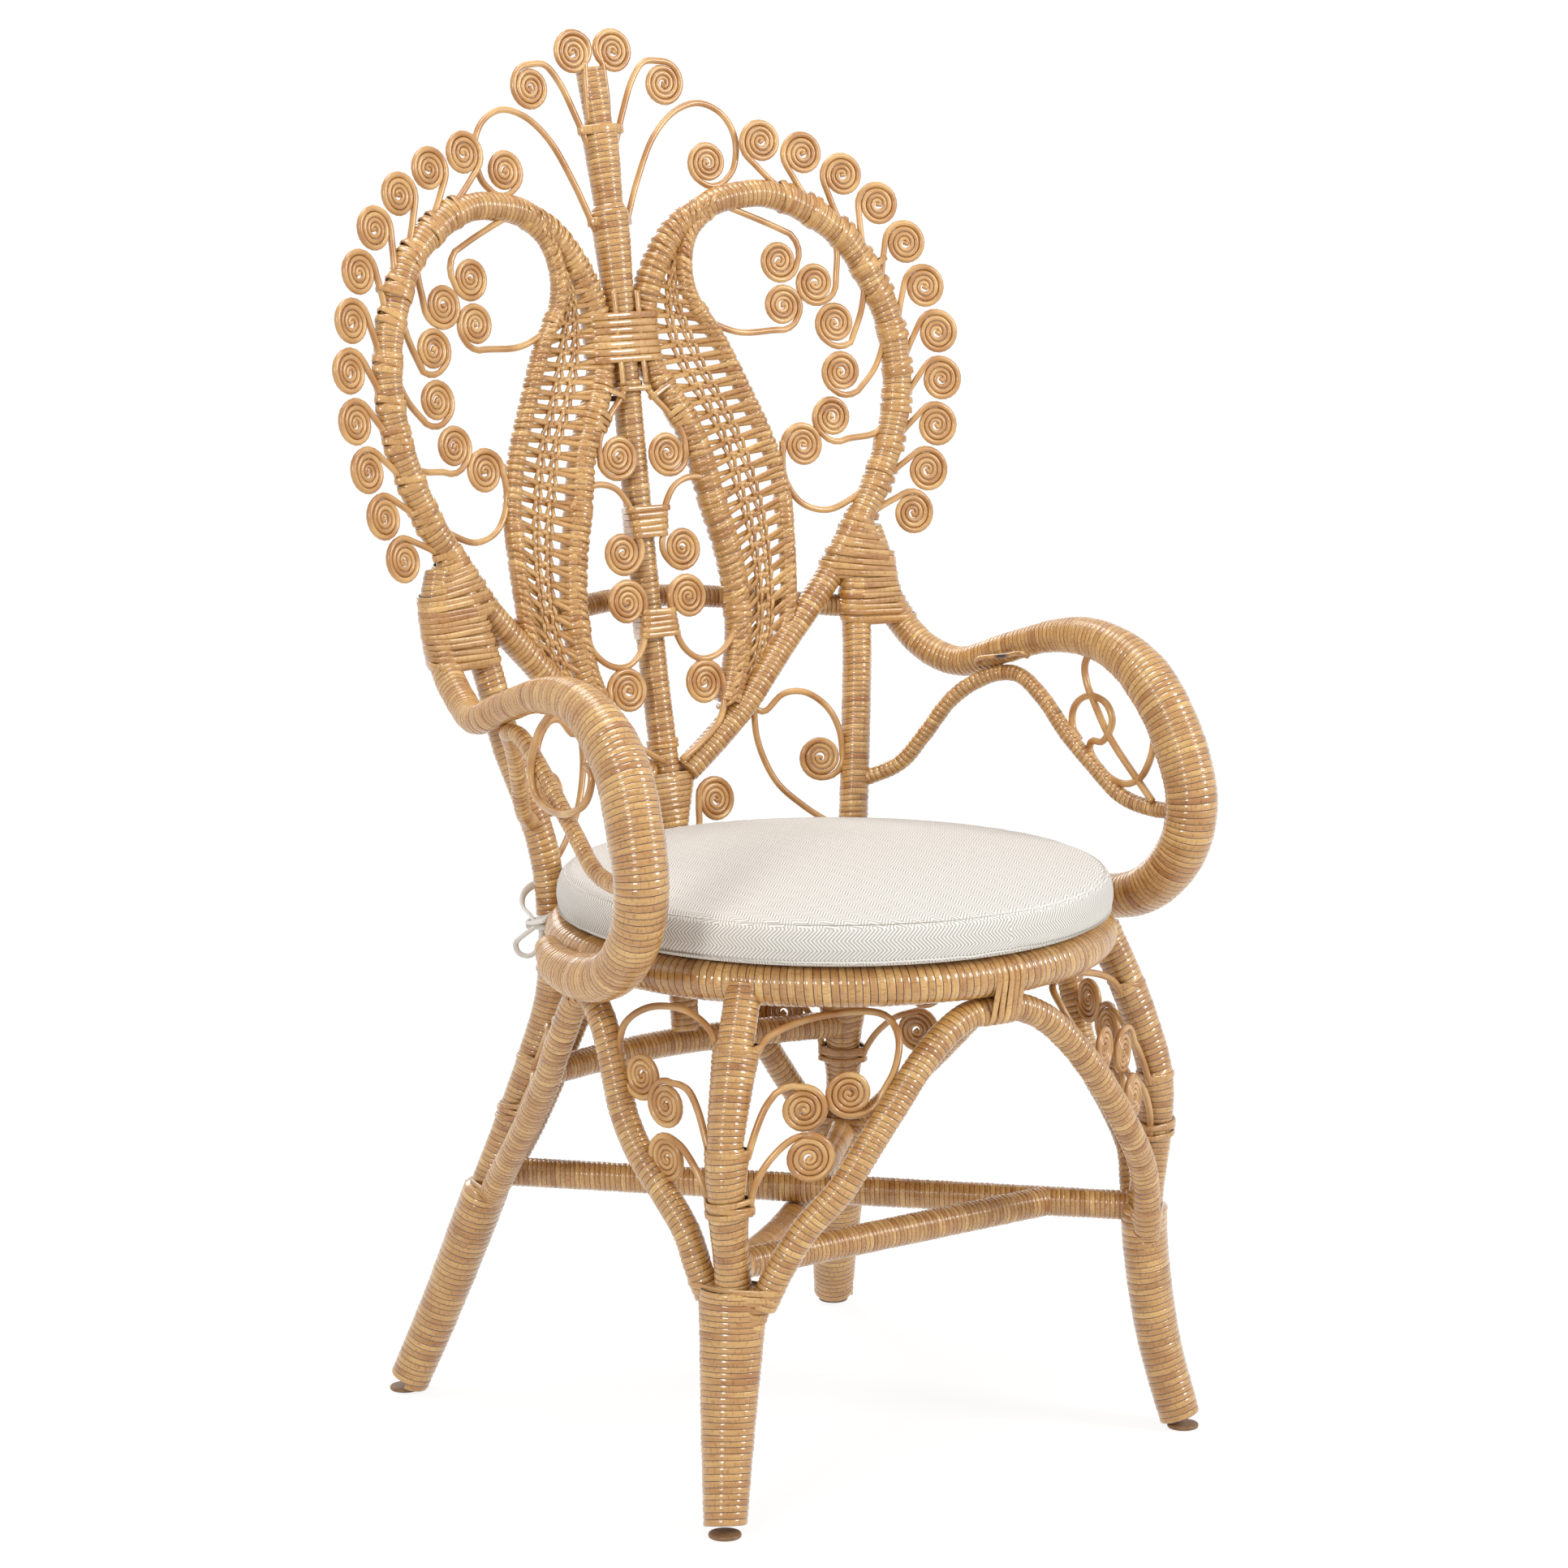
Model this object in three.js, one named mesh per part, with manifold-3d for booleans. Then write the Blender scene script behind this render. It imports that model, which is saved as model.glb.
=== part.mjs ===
// A peacock chair of rattan poles bound with split cane: a tall curved fan back with two bent
// loops, rows of coiled canes, a round seat on four bundled legs, and a loose seat cushion.
// Millimetres, +Z up, floor at z = 0. The sitter faces -Y, so +X is the sitter's left.
// Shares are hand-chosen fractions of the named size beside them.
import * as THREE from "three";
import { mergeVertices } from "three/addons/utils/BufferGeometryUtils.js";
import Module from "manifold-3d";

const wasm = await Module();
wasm.setup();

// Whole chair
const seam = 0.3; // gap between touching pieces
const flatness = 0.12; // facets flatter than this are merged
const depthShift = 2.4; // from the middle of the seat hoop's frame to the middle of the chair's depth

// Seat
const seatHoopRadius = 240;
const seatHoopHeight = 471; // centre of the hoop's pole above the floor
const seatHoopMiddle = -70; // y of the middle of the hoop's widest part
const hoopPoleRadius = 18;
const seatPanelThickness = 8;
const seatPanelDrop = 3; // from the top of the hoop down to the woven seat

// Fan back
const fanHalfWidth = 334; // to the centre of the outermost curl
const crownHeight = 1250; // to about the centre of the top curls
const fanFootY = 85; // where the fan's surface would meet the floor
const fanLeanShare = 0.17; // backward lean per unit of height
const fanBowRadius = 1233; // the wings bow forward on this radius
const loopPoleRadius = 13;
const edgePoleRadius = 8;
const panelThickness = 6;
const postRadius = 13.5;
const railRadius = 10.5;
const postSetBack = 12; // the post stands behind the fan's surface
const crestSetBack = 10; // and so do the curls of the crest
const postTailY = 161;
const postTailHeight = 330;

// Curls of round cane
const caneRadius = 4.2;
const curlHalfThickness = 4.6;
const curlRadius = 22.8;
const curlSides = 10;
const stemSides = 4;

// Arms
const armSpread = 308; // half the distance between the arms at the front
const armReach = 211; // how far forward the arms bow
const armRise = 241; // from the hoop's centre to the top of the arm
const armPoleRadius = 14;
const braceRadius = 7.5;

// Legs
const legHeight = 475; // height that the leg shares follow
const footPadRadius = 15;
const footPadThickness = 4;
const legPoleRadius = 16;
const archRadius = 12.5;
const stretcherRadius = 13.5;
const frontLegSpread = 261;
const frontLegReach = 263;
const rearLegSpread = 254;
const rearLegReach = 264;

// Cushion
const cushionRadius = 254;
const cushionAcross = -7; // it lies a little to one side
const cushionMiddle = -82.5; // y of the cushion's centre
const cushionThickness = 45;
const cushionCrown = 6;
const cushionSideSwell = 1.5;
const cushionCorner = 13;
const cushionSides = 32;

// Tie cords
const tieRadius = 2.5;
const tieSides = 8;

const poleSides = 8;

// Colours from the real materials
const caneColour = 0xd9ae72;
const curlColour = 0xd3a36b;
const linenColour = 0xede8e1;
const cottonColour = 0xe6dfd2;
const padColour = 0x2b2622;

const caneFinish = { color: caneColour, roughness: 0.38, metalness: 0 };
const curlFinish = { color: curlColour, roughness: 0.45, metalness: 0 };
const linenFinish = { color: linenColour, roughness: 0.95, metalness: 0 };
const cottonFinish = { color: cottonColour, roughness: 0.95, metalness: 0 };
const padFinish = { color: padColour, roughness: 0.6, metalness: 0 };

const UP = new THREE.Vector3(0, 0, 1);
const at = (x, y, z) => new THREE.Vector3(x, y, z);

// A smooth path through points.
function pathOf(points, closed = false) {
  return new THREE.CatmullRomCurve3(points, closed, "centripetal");
}

// The solid of a closed geometry, turned right side out.
function solidOf(geometry) {
  const bare = geometry.index ? geometry.toNonIndexed() : geometry.clone();
  bare.deleteAttribute("normal");
  bare.deleteAttribute("uv");
  const merged = mergeVertices(bare, 1e-3);
  const corners = new Uint32Array(merged.index.array);
  const places = merged.attributes.position.array;
  const make = () =>
    new wasm.Manifold(new wasm.Mesh({ numProp: 3, vertProperties: places, triVerts: corners }));
  const made = make();
  if (made.volume() >= 0) return made;
  for (let i = 0; i < corners.length; i += 3) {
    [corners[i + 1], corners[i + 2]] = [corners[i + 2], corners[i + 1]];
  }
  return make();
}

// A round pole of one thickness along a curve.
function pole(curve, radius, sides, steps) {
  const ring = [];
  for (let k = 0; k < sides; k++) {
    const turn = (k * 2 * Math.PI) / sides;
    ring.push(new THREE.Vector2(Math.cos(turn) * radius, Math.sin(turn) * radius));
  }
  const section = new THREE.Shape(ring);
  return solidOf(
    new THREE.ExtrudeGeometry(section, { steps, extrudePath: curve, bevelEnabled: false }),
  );
}

// A bundle whose two half widths change along a curve: a lathed pole bent along the curve.
// rows hold [share of the length, half width across, half width through]; across points sideways.
function bundle(curve, rows, sides, across) {
  const profile = [new THREE.Vector2(0, 0)];
  rows.forEach((row) => profile.push(new THREE.Vector2(1, row[0])));
  profile.push(new THREE.Vector2(0, 1));
  const lathe = new THREE.LatheGeometry(profile, sides);
  const places = lathe.attributes.position;
  const spot = new THREE.Vector3();
  for (let i = 0; i < places.count; i++) {
    const ring = i % profile.length;
    const row = rows[Math.min(Math.max(ring - 1, 0), rows.length - 1)];
    const centre = curve.getPointAt(row[0]);
    const along = curve.getTangentAt(row[0]);
    const wide = across(row[0]).clone();
    wide.addScaledVector(along, -wide.dot(along)).normalize();
    const deep = new THREE.Vector3().crossVectors(along, wide);
    spot.copy(centre);
    spot.addScaledVector(wide, places.getX(i) * row[1]);
    spot.addScaledVector(deep, places.getZ(i) * row[2]);
    places.setXYZ(i, spot.x, spot.y, spot.z);
  }
  return solidOf(lathe);
}

// Even rows for a bundle. The width shares hold [share of the length, across, through], the last
// two as shares of a radius.
function rowsOf(widthShares, radius, steps, grow) {
  const rows = [];
  for (let k = 0; k <= steps; k++) {
    const share = k / steps;
    let i = 1;
    while (i < widthShares.length - 1 && widthShares[i][0] < share) i++;
    const [from, to] = [widthShares[i - 1], widthShares[i]];
    const part = (share - from[0]) / (to[0] - from[0]);
    const between = (j) => (from[j] + (to[j] - from[j]) * part) * radius + grow;
    rows.push([share, between(1), between(2)]);
  }
  return rows;
}

// A flat round coil of cane, as the disc that its turns fill.
function coil(centre, normal, grow) {
  const disc = new THREE.CylinderGeometry(
    curlRadius + grow,
    curlRadius + grow,
    (curlHalfThickness + grow) * 2,
    curlSides,
  );
  disc.applyQuaternion(new THREE.Quaternion().setFromUnitVectors(at(0, 1, 0), normal));
  disc.translate(centre.x, centre.y, centre.z);
  return solidOf(disc);
}

// A stem of cane through points, sides kept few.
function stem(points, grow, steps = 5) {
  return pole(pathOf(points), caneRadius + grow, stemSides, steps);
}

// Links between the centres of curls that touch in a row.
function links(centres, grow) {
  return centres.slice(1).map((centre, i) => {
    const straight = new THREE.LineCurve3(centres[i], centre);
    return pole(straight, caneRadius / 2 + grow, stemSides, 1);
  });
}

function joined(solids) {
  return solids.reduce((sum, solid) => sum.add(solid));
}

// The surface of the fan: it leans back with height and bows forward at its wings.
function fanY(x, z) {
  return fanFootY + fanLeanShare * z - (x * x) / (2 * fanBowRadius);
}

function fanSpot(side, outShare, upShare, ahead = 0) {
  const x = outShare * fanHalfWidth;
  const z = upShare * crownHeight;
  return at(side * x, fanY(x, z) - ahead, z);
}

function fanNormal(side, outShare) {
  const x = outShare * fanHalfWidth;
  return at((-side * x) / fanBowRadius, -1, fanLeanShare).normalize();
}

// A path on the fan; a third number in a row sets that point back, as a share of the post's.
const fanPath = (shares, side) =>
  pathOf(shares.map((share) => fanSpot(side, share[0], share[1], -(share[2] || 0) * postSetBack)));

// The named pieces. Each is made once as it is and once fattened by the seam, and a later piece
// is cut clear of every earlier one that it touches.
const pieces = [];
function piece(name, finish, make) {
  pieces.push({ name, finish, make });
}
const sides = [
  ["left", 1],
  ["right", -1],
];
function onBothSides(name, finish, make) {
  for (const [word, side] of sides) piece(name + "_" + word, finish, (grow) => make(side, grow));
}

// Seat hoop: round in front, drawn in towards the back. [out, back] shares of its radius.
const hoopTop = seatHoopHeight + hoopPoleRadius;
const hoopUnderside = seatHoopHeight - hoopPoleRadius;
const hoopSteps = 32;
const hoopShares = [
  [0.383, -0.924],
  [0.707, -0.707],
  [0.924, -0.383],
  [1, 0],
  [0.975, 0.3],
  [0.84, 0.56],
  [0.64, 0.79],
  [0.38, 0.99],
];
const hoopBackShare = 1.165;
function hoopSpot(outShare, backShare, height) {
  return at(outShare * seatHoopRadius, seatHoopMiddle + backShare * seatHoopRadius, height);
}
function hoopPath(height) {
  const side = (sign) => hoopShares.map((share) => hoopSpot(sign * share[0], share[1], height));
  const front = hoopSpot(0, -1, height);
  const back = hoopSpot(0, hoopBackShare, height);
  return pathOf([front, ...side(1), back, ...side(-1).reverse()], true);
}
piece("seat_hoop", caneFinish, (grow) =>
  pole(hoopPath(seatHoopHeight), hoopPoleRadius + grow, poleSides, hoopSteps),
);

// Legs: a bundle tapering to the foot, from which the middle pole goes on up to the hoop.
// Shares of the leg's spread, reach and height.
const frontLegShares = [
  [1, 1, 0],
  [0.936, 0.93, 0.19],
  [0.895, 0.9, 0.4],
  [0.897, 0.905, 0.47],
  [0.926, 0.912, 0.6],
  [0.93, 0.908, 0.7],
  [0.87, 0.865, 0.84],
  [0.77, 0.8, 0.965],
];
const rearLegShares = [
  [1, 1, 0],
  [0.912, 0.875, 0.19],
  [0.81, 0.705, 0.455],
  [0.773, 0.655, 0.54],
  [0.715, 0.578, 0.682],
  [0.667, 0.51, 0.83],
  [0.666, 0.482, 0.98],
];
// From the foot up: [share of the length, across, through] in shares of the pole's radius
const legWidthShares = [
  [0, 1.19, 1.15],
  [0.41, 1.875, 1.48],
  [0.44, 1.75, 1.45],
  [0.47, 1, 1],
  [1, 1, 1],
];
const legSteps = 11;
function legPath(front, side) {
  const shares = front ? frontLegShares : rearLegShares;
  const spread = front ? frontLegSpread : rearLegSpread;
  const reach = front ? -frontLegReach : rearLegReach;
  const points = shares.map(([out, along, up]) =>
    at(side * out * spread, along * reach, up * legHeight),
  );
  points[points.length - 1].z = seatHoopHeight;
  return pathOf(points);
}
for (const front of [true, false]) {
  for (const [word, side] of sides) {
    const name = "leg_" + (front ? "front_" : "rear_") + word;
    const across = at(side, front ? 1 : -1, 0).normalize();
    piece(name, caneFinish, (grow) =>
      bundle(
        legPath(front, side),
        rowsOf(legWidthShares, legPoleRadius, legSteps, grow),
        poleSides,
        () => across,
      ).trimByPlane([0, 0, 1], footPadThickness + seam - grow),
    );
    piece("foot_pad_" + (front ? "front_" : "rear_") + word, padFinish, (grow) => {
      const foot = legPath(front, side).getPointAt(0);
      const pad = new THREE.CylinderGeometry(
        footPadRadius + grow,
        footPadRadius + grow,
        footPadThickness + 2 * grow,
        curlSides,
      );
      pad.rotateX(Math.PI / 2);
      pad.translate(foot.x, foot.y, footPadThickness / 2);
      return solidOf(pad);
    });
  }
}

// The post up the middle of the fan: bound sections that swell towards their upper collars.
// [up share of the crown's height, share of the post's set-back]
const postShares = [
  [0.43, 0.7],
  [0.55, 1],
  [0.7, 0.9],
  [0.85, 0.7],
  [0.95, 1],
  [0.985, 1.4],
];
// From the tail up: [share of the length, across, through] in shares of the post's radius
const postWidthShares = [
  [0, 1, 1],
  [0.7, 1, 1],
  [0.75, 1.07, 1.07],
  [0.85, 1.41, 1.33],
  [0.86, 1.04, 1.04],
  [0.93, 1.33, 1.19],
  [0.94, 0.96, 0.96],
  [1, 1.07, 0.96],
];
const postSteps = 20;
function postPath() {
  const points = postShares.map((share) => fanSpot(1, 0, share[0], -share[1] * postSetBack));
  points.unshift(at(0, postTailY, postTailHeight));
  return pathOf(points);
}
piece("centre_post", caneFinish, (grow) => {
  const rows = rowsOf(postWidthShares, postRadius, postSteps, grow);
  return bundle(postPath(), rows, poleSides, () => at(1, 0, 0));
});

// Each loop pole rises from the foot of the V, rounds the top of the loop, comes down beside
// the post and goes on as the inner edge of the woven panel. [out, up] shares of the fan.
const loopOuterShares = [
  [0.06, 0.46, 0.6],
  [0.17, 0.483, 0.3],
  [0.269, 0.507],
  [0.425, 0.552],
  [0.596, 0.601],
  [0.683, 0.634],
  [0.766, 0.668],
  [0.814, 0.697],
  [0.85, 0.728],
  [0.862, 0.76],
  [0.852, 0.79],
  [0.814, 0.818],
  [0.743, 0.852],
  [0.614, 0.878],
  [0.5, 0.889],
];
const loopInnerShares = [
  [0.4, 0.888],
  [0.33, 0.884],
  [0.272, 0.876, 0.2],
  [0.22, 0.867, 0.4],
  [0.17, 0.853, 0.5],
  [0.125, 0.835, 0.6],
  [0.09, 0.813, 0.8],
  [0.074, 0.787, 0.9],
  [0.088, 0.763, 0.7],
  [0.115, 0.746, 0.3],
  [0.15, 0.73],
  [0.198, 0.702],
  [0.231, 0.661],
  [0.263, 0.628],
  [0.278, 0.594],
  [0.272, 0.56],
  [0.251, 0.535],
  [0.215, 0.51],
];
const loopSteps = 34;
const loopPath = (side) => fanPath([...loopOuterShares, ...loopInnerShares], side);
onBothSides("loop_pole", caneFinish, (side, grow) =>
  pole(loopPath(side), loopPoleRadius + grow, poleSides, loopSteps),
);

// The thinner outer edge of the woven panel, from the top of the loop down to the V.
const edgeShares = [
  [0.311, 0.878],
  [0.246, 0.862],
  [0.216, 0.838],
  [0.228, 0.814],
  [0.293, 0.786],
  [0.365, 0.744],
  [0.422, 0.707],
  [0.458, 0.67],
  [0.462, 0.636],
  [0.456, 0.6],
  [0.443, 0.572],
  [0.4, 0.547],
];
const edgeSteps = 14;
onBothSides("panel_edge", caneFinish, (side, grow) =>
  pole(fanPath(edgeShares, side), edgePoleRadius + grow, poleSides, edgeSteps),
);

// Rear posts from the hoop up to the loops. [out, back, up]: out runs from the foot to the fan's
// half width, back in shares of the rear leg's reach, up from the hoop to the crown.
const rearPostFootShare = 0.683; // of the rear leg's spread
const rearPostShares = [
  [0, 0.489, 0],
  [0.008, 0.492, 0.037],
  [0.041, 0.511, 0.09],
  [0.103, 0.553, 0.146],
  [0.171, 0.602, 0.2025],
  [0.228, 0.644, 0.275],
  [0.296, 0.72, 0.358],
  [0.343, 0.77, 0.414],
];
const rearPostRadius = 14;
const rearPostSteps = 7;
function rearPostPath(side) {
  const foot = rearPostFootShare * rearLegSpread;
  const spot = ([out, back, up]) =>
    at(
      side * (foot + out * (fanHalfWidth - foot)),
      back * rearLegReach,
      seatHoopHeight + up * (crownHeight - seatHoopHeight),
    );
  return pathOf(rearPostShares.map(spot));
}
onBothSides("rear_post", caneFinish, (side, grow) =>
  pole(rearPostPath(side), rearPostRadius + grow, poleSides, rearPostSteps),
);

// Arms: one pole at the back, two bound side by side round the front and along the seat.
// Shares of the spread, the reach and the rise above the hoop.
const armShares = [
  [0.8, 0.945, 1.33],
  [0.828, 0.92, 1.2],
  [0.832, 0.875, 1.06],
  [0.848, 0.77, 0.945],
  [0.868, 0.61, 0.855],
  [0.9, 0.44, 0.825],
  [0.92, 0.16, 0.905],
  [0.945, -0.15, 0.985],
  [0.955, -0.42, 0.997],
  [0.97, -0.654, 0.925],
  [0.98, -0.824, 0.79],
  [0.995, -0.938, 0.602],
  [1, -0.99, 0.435],
  [0.995, -0.965, 0.28],
  [0.985, -0.87, 0.15],
  [0.97, -0.72, 0.05],
  [0.955, -0.5, 0],
  [0.93, -0.25, -0.005],
  [0.87, -0.03, 0.02],
];
// From the back: [share of the length, across, through] in shares of the pole's radius
const armWidthShares = [
  [0, 0.86, 0.86],
  [0.1, 1, 1],
  [0.35, 1, 1],
  [0.45, 1.4, 1.3],
  [0.53, 1.76, 1.66],
  [0.62, 1.86, 1.71],
  [0.72, 1.62, 1.71],
  [0.87, 1.46, 1.71],
  [0.95, 1.21, 1.21],
  [1, 0.86, 0.86],
];
const armSteps = 24;
function armSpot(side, outShare, reachShare, riseShare) {
  return at(side * outShare * armSpread, reachShare * armReach, seatHoopHeight + riseShare * armRise);
}
const armPath = (side) => pathOf(armShares.map((share) => armSpot(side, ...share)));
onBothSides("arm", caneFinish, (side, grow) => {
  const path = armPath(side);
  const across = (share) => new THREE.Vector3().crossVectors(path.getTangentAt(share), at(1, 0, 0));
  const rows = rowsOf(armWidthShares, armPoleRadius, armSteps, grow);
  return bundle(path, rows, poleSides, across);
});

// Braces from the rear posts up to the arms and on down to their front curve
const braceShares = [
  [0.6, 0.66, 0.35],
  [0.7, 0.52, 0.43],
  [0.753, 0.435, 0.55],
  [0.808, 0.35, 0.69],
  [0.86, 0.27, 0.765],
  [0.905, 0.18, 0.805],
  [0.92, 0.06, 0.81],
  [0.93, -0.09, 0.735],
  [0.935, -0.255, 0.61],
  [0.948, -0.42, 0.5],
  [0.964, -0.58, 0.405],
  [0.977, -0.74, 0.378],
  [0.99, -0.93, 0.382],
];
const braceSteps = 14;
const bracePath = (side) => pathOf(braceShares.map((share) => armSpot(side, ...share)));
onBothSides("arm_brace", caneFinish, (side, grow) =>
  pole(bracePath(side), braceRadius + grow, poleSides, braceSteps),
);

// Scroll of cane between each arm and its brace. On the left a crossing rod, and a long bend that
// ends in a small ring. On the right one open ring, which hooks round the outside of the brace.
// [reach, rise] shares in the plane of the brace, or [reach, rise, out] where it leaves that plane.
const scrollOutShare = 0.964;
const rodShares = [
  [-0.37, 0.96],
  [-0.32, 0.885],
  [-0.337, 0.813],
  [-0.375, 0.763],
  [-0.49, 0.63],
  [-0.79, 0.41],
];
const bendShares = [
  [-0.7, 0.84],
  [-0.75, 0.784],
  [-0.787, 0.71],
  [-0.79, 0.622],
  [-0.753, 0.54],
  [-0.706, 0.49],
  [-0.616, 0.456],
  [-0.526, 0.46],
  [-0.445, 0.49],
  [-0.36, 0.56],
  [-0.374, 0.593],
  [-0.445, 0.6],
  [-0.498, 0.65],
  [-0.512, 0.697],
  [-0.474, 0.75],
  [-0.374, 0.772],
  [-0.294, 0.75],
  [-0.242, 0.697],
  [-0.242, 0.63],
  [-0.29, 0.59],
];
const hookShares = [
  [-0.29, 0.955],
  [-0.245, 0.915],
  [-0.188, 0.865],
  [-0.135, 0.783],
  [-0.12, 0.707],
  [-0.15, 0.627],
  [-0.267, 0.594, 0.98],
  [-0.43, 0.595, 1.003],
  [-0.531, 0.617, 1.01],
  [-0.614, 0.658, 1.01],
  [-0.655, 0.716, 1.01],
  [-0.65, 0.765, 1.003],
  [-0.56, 0.783, 0.98],
];
const rodSteps = 5;
const bendSteps = 20;
const scrollPath = (shares, side) =>
  pathOf(shares.map(([reach, rise, out]) => armSpot(side, out ?? scrollOutShare, reach, rise)));
onBothSides("arm_scroll", curlFinish, (side, grow) =>
  side < 0
    ? pole(scrollPath(hookShares, side), caneRadius + grow, stemSides, bendSteps)
    : joined([
        pole(scrollPath(rodShares, side), caneRadius + grow, stemSides, rodSteps),
        pole(scrollPath(bendShares, side), caneRadius + grow, stemSides, bendSteps),
      ]),
);

// Arches between neighbouring legs, bent up to the hoop
const archSteps = 16;
const frontArchSteps = 20;
const archTop = hoopUnderside - archRadius - seam;
// [out, forward] shares of the front leg's spread and reach, and [up] share of the arch's top
const frontArchShares = [
  [0.84, 0.98, 0.44],
  [0.79, 1.03, 0.53],
  [0.728, 1.076, 0.605],
  [0.628, 1.133, 0.68],
  [0.521, 1.156, 0.768],
  [0.429, 1.165, 0.837],
  [0.326, 1.164, 0.907],
  [0.21, 1.16, 0.965],
  [0.1, 1.156, 0.994],
];
const rearArchShares = [
  [0.79, 0.77, 0.43],
  [0.65, 0.76, 0.53],
  [0.5, 0.77, 0.66],
  [0.36, 0.785, 0.8],
  [0.22, 0.8, 0.915],
  [0.1, 0.803, 0.98],
];
function archPath(front) {
  const shares = front ? frontArchShares : rearArchShares;
  const spread = front ? frontLegSpread : rearLegSpread;
  const reach = front ? -frontLegReach : rearLegReach;
  const spots = (side) =>
    shares.map((share) => at(side * share[0] * spread, share[1] * reach, share[2] * archTop));
  const top = hoopSpot(0, front ? -1 : hoopBackShare, archTop);
  return pathOf([...spots(-1), top, ...spots(1).reverse()]);
}
piece("arch_front", caneFinish, (grow) =>
  pole(archPath(true), archRadius + grow, poleSides, frontArchSteps),
);
piece("arch_rear", caneFinish, (grow) =>
  pole(archPath(false), archRadius + grow, poleSides, archSteps),
);
// [out, along, up]: shares of the arch's spread, of the rear leg's reach and of the arch's top
const sideArchSpread = 259;
const sideArchRise = 6; // above the other arches' tops, where it passes outside the hoop
const sideArchShares = [
  [0.93, -0.81, 0.45],
  [0.952, -0.775, 0.51],
  [0.97, -0.735, 0.578],
  [0.985, -0.632, 0.645],
  [0.995, -0.51, 0.709],
  [1.002, -0.425, 0.78],
  [1.006, -0.378, 0.86],
  [1.007, -0.335, 0.93],
  [1.006, -0.3, 0.965],
];
const sideArchRearShares = [
  [0.985, -0.02, 0.885],
  [0.957, 0.106, 0.784],
  [0.9, 0.345, 0.636],
  [0.84, 0.6, 0.49],
  [0.8, 0.72, 0.43],
];
function sideArchPath(side) {
  const spot = ([out, along, up]) =>
    at(side * out * sideArchSpread, along * rearLegReach, up * archTop);
  const top = at(side * sideArchSpread, seatHoopMiddle + hoopPoleRadius, archTop + sideArchRise);
  return pathOf([...sideArchShares.map(spot), top, ...sideArchRearShares.map(spot)]);
}
onBothSides("arch_side", caneFinish, (side, grow) =>
  pole(sideArchPath(side), archRadius + grow, poleSides, archSteps),
);

// Crossed stretchers: the upper one passes over the lower one at the middle of the chair
const stretcherHeight = 216; // of the upper one where they cross
const crossDrop = 2 * stretcherRadius + seam;
const frontLegHold = [0.875, 0.87]; // shares of the front leg's spread and reach
const rearLegHold = [0.8, 0.69]; // shares of the rear leg's spread and reach
const stretcherSteps = 8;
// side is where the front end is; rises are added at the front, the crossing and the rear.
function stretcherPath(side, rises) {
  const [frontRise, middleRise, rearRise] = rises;
  const front = at(side * frontLegHold[0] * frontLegSpread, -frontLegHold[1] * frontLegReach, 0);
  const rear = at(-side * rearLegHold[0] * rearLegSpread, rearLegHold[1] * rearLegReach, 0);
  const middle = front.clone().lerp(rear, front.x / (front.x - rear.x));
  front.z = stretcherHeight + frontRise;
  middle.z = stretcherHeight + middleRise;
  rear.z = stretcherHeight + rearRise;
  return pathOf([front, middle, rear]);
}
const slope = 7; // how far the ends of the stretchers stand off the level
const upperStretcherPath = stretcherPath(1, [-slope, 0, slope]);
const lowerStretcherPath = stretcherPath(-1, [slope, -crossDrop, -2 * slope]);
const frontStretcherShares = [0.08, 0.14]; // along the lower and the upper stretcher
piece("stretcher_upper", caneFinish, (grow) =>
  pole(upperStretcherPath, stretcherRadius + grow, poleSides, stretcherSteps),
);
piece("stretcher_lower", caneFinish, (grow) =>
  pole(lowerStretcherPath, stretcherRadius + grow, poleSides, stretcherSteps),
);
piece("stretcher_front", caneFinish, (grow) => {
  const from = lowerStretcherPath.getPointAt(frontStretcherShares[0]);
  const to = upperStretcherPath.getPointAt(frontStretcherShares[1]);
  const middle = from.clone().lerp(to, 0.5);
  return pole(pathOf([from, middle, to]), stretcherRadius + grow, poleSides, stretcherSteps);
});

// Rail between the rear legs, under the seat, that carries the tail of the post
const railEndShares = [0.705, 0.578]; // of the rear leg's spread and reach
const rearRailHeight = postTailHeight - postRadius;
const rearRailSetBack = 10; // behind the back of the post's tail
const rearRailBow = postTailY + postRadius + rearRailSetBack;
const rearRailRadius = 13;
function rearRailPath() {
  const end = (side) =>
    at(side * railEndShares[0] * rearLegSpread, railEndShares[1] * rearLegReach, rearRailHeight);
  return pathOf([end(-1), at(0, rearRailBow, rearRailHeight), end(1)]);
}
piece("rear_rail", caneFinish, (grow) =>
  pole(rearRailPath(), rearRailRadius + grow, poleSides, stretcherSteps),
);

// Rail behind the fan, between the rear posts
const backRailShares = [0.66, 0.573];
const backRailBow = 36; // how far it bows behind the fan
function backRailPath() {
  const end = (side) => fanSpot(side, backRailShares[0], backRailShares[1], -railRadius);
  const middle = fanSpot(1, 0, backRailShares[1] * 1.03, -backRailBow);
  return pathOf([end(-1), middle, end(1)]);
}
piece("back_rail", caneFinish, (grow) =>
  pole(backRailPath(), railRadius + grow, poleSides, stretcherSteps),
);

// Woven seat of cane inside the hoop
piece("seat_panel", caneFinish, (grow) => {
  const height = hoopTop - seatPanelDrop - seatPanelThickness - grow;
  const outline = hoopPath(0).getSpacedPoints(hoopSteps).slice(0, hoopSteps);
  const panel = new THREE.ExtrudeGeometry(
    new THREE.Shape(outline.map((spot) => new THREE.Vector2(spot.x, spot.y))),
    { depth: seatPanelThickness + 2 * grow, steps: 1, bevelEnabled: false },
  );
  panel.translate(0, 0, height);
  return solidOf(panel);
});

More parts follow.
